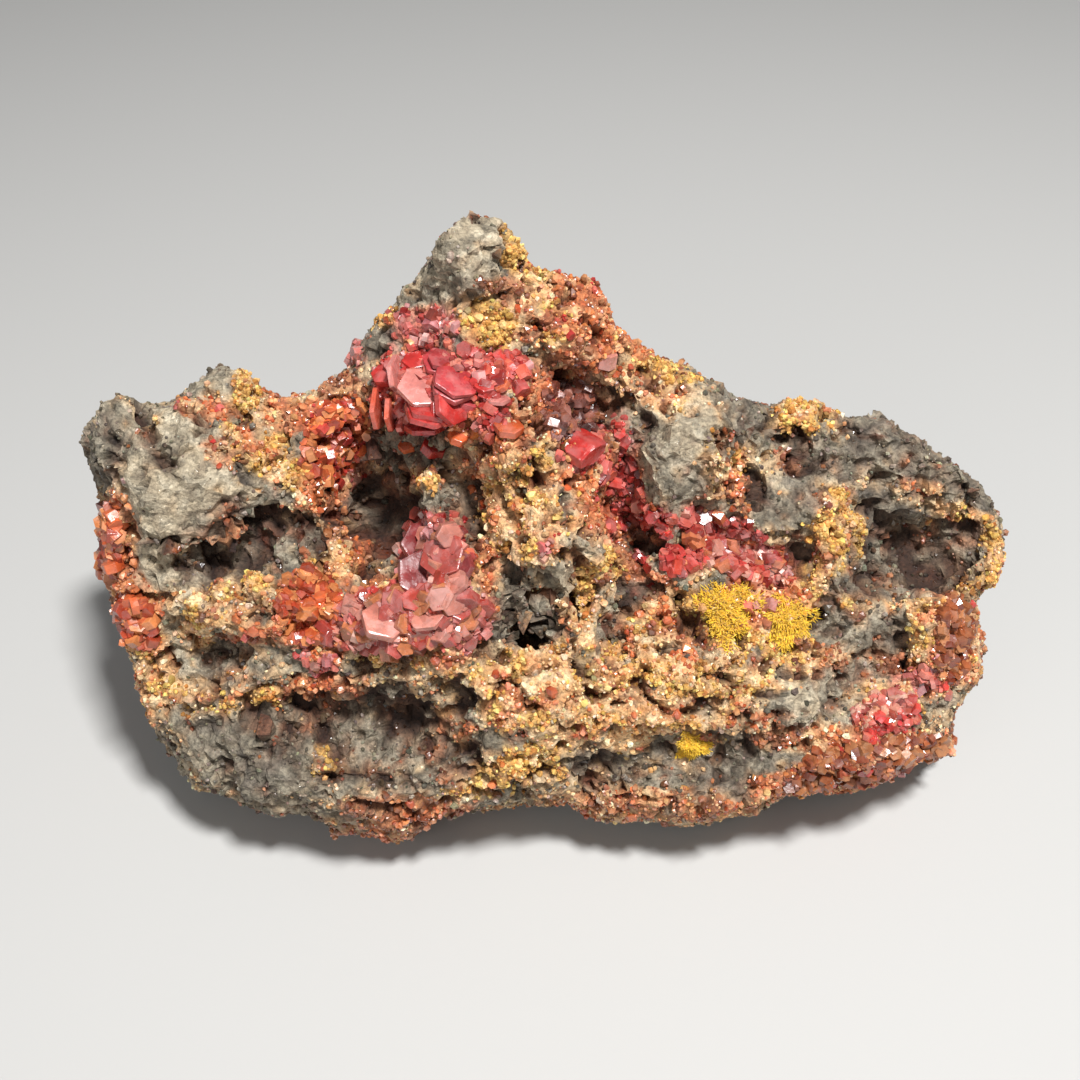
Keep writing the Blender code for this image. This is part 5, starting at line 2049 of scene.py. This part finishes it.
# ---------------------------------------------------------------- the whole specimen
RED_CLUSTER = (
    Crystal(-20.9, 18.0, 3.1, 0.9, 1.0, 0.05, 0.2, 1),
    Crystal(-19.1, 17.0, 2.6, 0.9, 1.0, 0.0, 0.25, 1),
    Crystal(-18.7, 21.4, 2.4, 0.8, 1.0, 0.1, 0.3, 3),
    Crystal(-20.4, 21.9, 1.7, 1.2, -0.3, 0.5, 0.8, 0),
    Crystal(-15.4, 20.4, 3.4, 0.9, 0.1, 0.5, 0.9, 3),
    Crystal(-11.4, 20.6, 2.4, 1.6, 0.3, 0.55, 0.8, 4),
    Crystal(-14.2, 17.4, 3.0, 1.5, 0.1, 0.75, 0.65, 0),
    Crystal(-15.2, 14.8, 2.3, 0.8, 0.0, 0.9, 0.45, 0),
    Crystal(-12.0, 17.4, 2.3, 1.6, 0.6, 0.2, 0.7, 0),
    Crystal(-16.6, 17.6, 1.0, 2.6, 0.5, 0.8, 0.2, 2),
    Crystal(-13.2, 23.6, 1.9, 1.4, 0.2, 0.6, 0.75, 4),
    Crystal(-16.6, 23.4, 1.5, 1.2, 0.0, 0.6, 0.8, 0),
    Crystal(-8.2, 15.1, 2.0, 1.3, -0.7, 0.3, 0.65, 5),
    Crystal(-4.2, 15.0, 1.9, 1.1, 0.1, 0.8, 0.55, 6),
    Crystal(-5.7, 18.6, 1.8, 0.7, 0.0, 0.9, 0.45, 3),
    Crystal(-7.3, 20.2, 1.3, 1.0, 0.2, 0.6, 0.7, 0),
    Crystal(-5.2, 20.4, 1.1, 0.9, -0.4, 0.5, 0.7, 6),
    Crystal(-9.4, 18.4, 1.5, 1.2, 0.3, 0.6, 0.7, 4),
    Crystal(-17.4, 12.6, 1.3, 1.1, 0.0, 0.6, 0.7, 6),
    Crystal(-14.2, 12.4, 1.5, 1.2, 0.3, 0.6, 0.7, 2),
    Crystal(-10.6, 13.8, 1.3, 1.0, 0.3, 0.6, 0.7, 6),
)

PINK_SHEETS = (
    Crystal(-14.9, -0.6, 3.0, 0.9, 0.5, 0.2, 0.85, 4),
    Crystal(-12.8, -2.0, 3.2, 1.0, -0.3, 0.25, 0.9, 0),
    Crystal(-15.4, -4.2, 2.8, 1.0, 0.25, 0.4, 0.9, 4),
    Crystal(-12.2, -5.6, 2.6, 1.0, -0.4, 0.5, 0.8, 1),
    Crystal(-10.4, -3.6, 2.0, 0.9, -0.6, 0.1, 0.7, 4),
    Crystal(-24.8, -8.6, 1.0, 2.6, 0.3, 0.9, 0.4, 1),
    Crystal(-20.6, -10.4, 2.6, 1.2, 0.2, 0.5, 0.85, 1),
    Crystal(-14.6, -9.8, 2.2, 1.1, -0.2, 0.5, 0.85, 1),
)

BARREL = Crystal(5.4, 12.1, 1.95, 4.3, 0.75, -0.50, 0.42, 0)


@dataclass(frozen=True)
class CrystalLook:
    """What a group's crystals look like: the record's slot, their colours and their finish."""

    slot: str
    tones: CrystalTones
    finish: bpy.types.Material

    def druse(self, place: str, seed: int, *ovals: tuple[float, ...]) -> CrystalGroup:
        """A crust of small crystals.

        Args:
            place: where it grows, as its solid's name has it.
            seed: sets how its crystals grow.
            ovals: the values of each patch that it fills.

        Returns:
            The group.
        """
        return CrystalGroup(
            f"{place}_crystals",
            f"{place}_druse",
            self.slot,
            self.tones,
            self.finish,
            patches=tuple(CrystalPatch(*oval) for oval in ovals),
            seed=seed,
        )


class Specimen:
    """The rock with everything that grew on it."""

    def __init__(self) -> None:
        """Make the finishes."""
        parts = ShaderParts()
        self.stone = StoneFinish("ore_stone").make(parts)
        self.grain = StoneFinish("sugary_grain", contrast=0.7, roughness=0.55).make(parts)
        self.red = CrystalFinish("red_glass", frosting=0.20, glow=0.1).make(parts)
        self.orange = CrystalFinish(
            "orange_glass", frosting=0.12, frost=(0.72, 0.42, 0.20, 1.0), roughness=0.18
        ).make(parts)
        self.pink = CrystalFinish(
            "pink_glass", frosting=0.22, frost=(0.62, 0.38, 0.36, 1.0), glow=0.1
        ).make(parts)
        self.yellow = TuftFinish("yellow_needles").make(parts)

    def build(self) -> None:
        """Build the rock, the grains, the crystals and the tufts."""
        surface = MatrixRock(self.stone).build()
        grain_finishes = {
            Mineral.TAN: self.grain,
            Mineral.GOLD: self.grain,
            Mineral.ORANGE: self.orange,
            Mineral.RUST: self.orange,
            Mineral.RED: self.red,
            Mineral.PINK: self.pink,
            Mineral.GREY: self.stone,
            Mineral.DARK: self.orange,
        }
        GrainField(surface, grain_finishes).build()
        shapes = {
            habit: tuple(habit.value.model(seed) for seed in range(habit.value.variants))
            for habit in Habit
        }
        lone = {Habit.BARREL: (LONE_BARREL.model(seed=3),)}
        for group in self._groups():
            group.build(surface, lone if group.lone else shapes)
        for number, tuft in enumerate(self._tufts()):
            tuft.build(surface, number)

    def _groups(self) -> list[CrystalGroup]:
        """The groups of crystals, those with placed crystals and the druses.

        Returns:
            Every group.
        """
        red = ("red_crystal", RED_TONES, self.red)
        pink = ("pink_crystal", PINK_TONES, self.pink)
        orange = CrystalLook("orange_crystal", ORANGE_TONES, self.orange)
        umber = CrystalLook("orange_crystal", UMBER_TONES, self.orange)
        mauve = CrystalLook("red_crystal", MAUVE_TONES, self.red)
        rose = CrystalLook("red_crystal", ROSE_TONES, self.red)
        flesh = CrystalLook("red_crystal", SHOULDER_TONES, self.pink)
        shelf = (
            CrystalPatch(-13.4, -4.0, 2.8, 4.6, -10, 10, 0.8, 1.5, 0.6),
            CrystalPatch(-18.0, -10.6, 9.4, 3.4, 8, 44, 0.6, 1.6, 0.7),
        )
        plates = {"placed": PINK_SHEETS, "patches": shelf, "seed": 21}
        return [
            CrystalGroup("red_crystals", "red_blades", *red, placed=RED_CLUSTER),
            CrystalGroup("barrel_crystal", "red_barrel", *red, placed=(BARREL,), lone=True),
            orange.druse("cave_wall", 20, (-27.0, 13.4, 3.6, 5.6, -30, 92, 0.3, 0.75, 1.2)),
            CrystalGroup("pink_crystals", "pink_plates", *pink, **plates),
            orange.druse("ledge", 22, (-30.6, -8.8, 3.8, 4.6, 0, 80, 0.3, 0.78, 1.2)),
            mauve.druse("cleft", 23, (4.0, 17.2, 3.2, 3.6, 0, 40, 0.35, 0.85, 1.1)),
            rose.druse("hollow", 24, (25.4, -0.9, 7.0, 2.6, -34, 60, 0.35, 1.0, 1.1)),
            orange.druse("left_edge", 25, (-57.0, -0.4, 1.2, 4.6, 0, 26, 0.5, 1.15, 1.2)),
            orange.druse("left_low", 26, (-53.4, -10.6, 1.8, 3.6, 20, 26, 0.5, 1.1, 1.3)),
            umber.druse("right_edge", 27, (54.6, -13.0, 2.0, 5.6, 0, 50, 0.3, 0.75, 1.2)),
            flesh.druse("shoulder", 28, (45.0, -22.4, 3.8, 1.8, 20, 34, 0.3, 0.75, 1.0)),
            umber.druse("low_right", 29, (43.0, -29.4, 10.0, 2.4, 14, 90, 0.3, 0.8, 1.2)),
        ]

    def _tufts(self) -> list[NeedleTuft]:
        """The tufts of yellow needles: two side by side, and one low on the front.

        Returns:
            Every tuft.
        """
        return [
            NeedleTuft("left_tuft", 24.9, -9.5, 3.7, 4.1, 2.2, self.yellow),
            NeedleTuft("right_tuft", 32.9, -10.6, 3.0, 3.3, 1.8, self.yellow),
            NeedleTuft("low_tuft", 20.1, -27.2, 2.0, 1.4, 1.4, self.yellow),
        ]


def main() -> None:
    """Build the specimen and its studio; each finished piece's face count is logged."""
    logging.basicConfig(level=logging.INFO, format="%(name)s: %(message)s")
    Specimen().build()
    Studio().build()


if __name__ == "__main__":
    main()
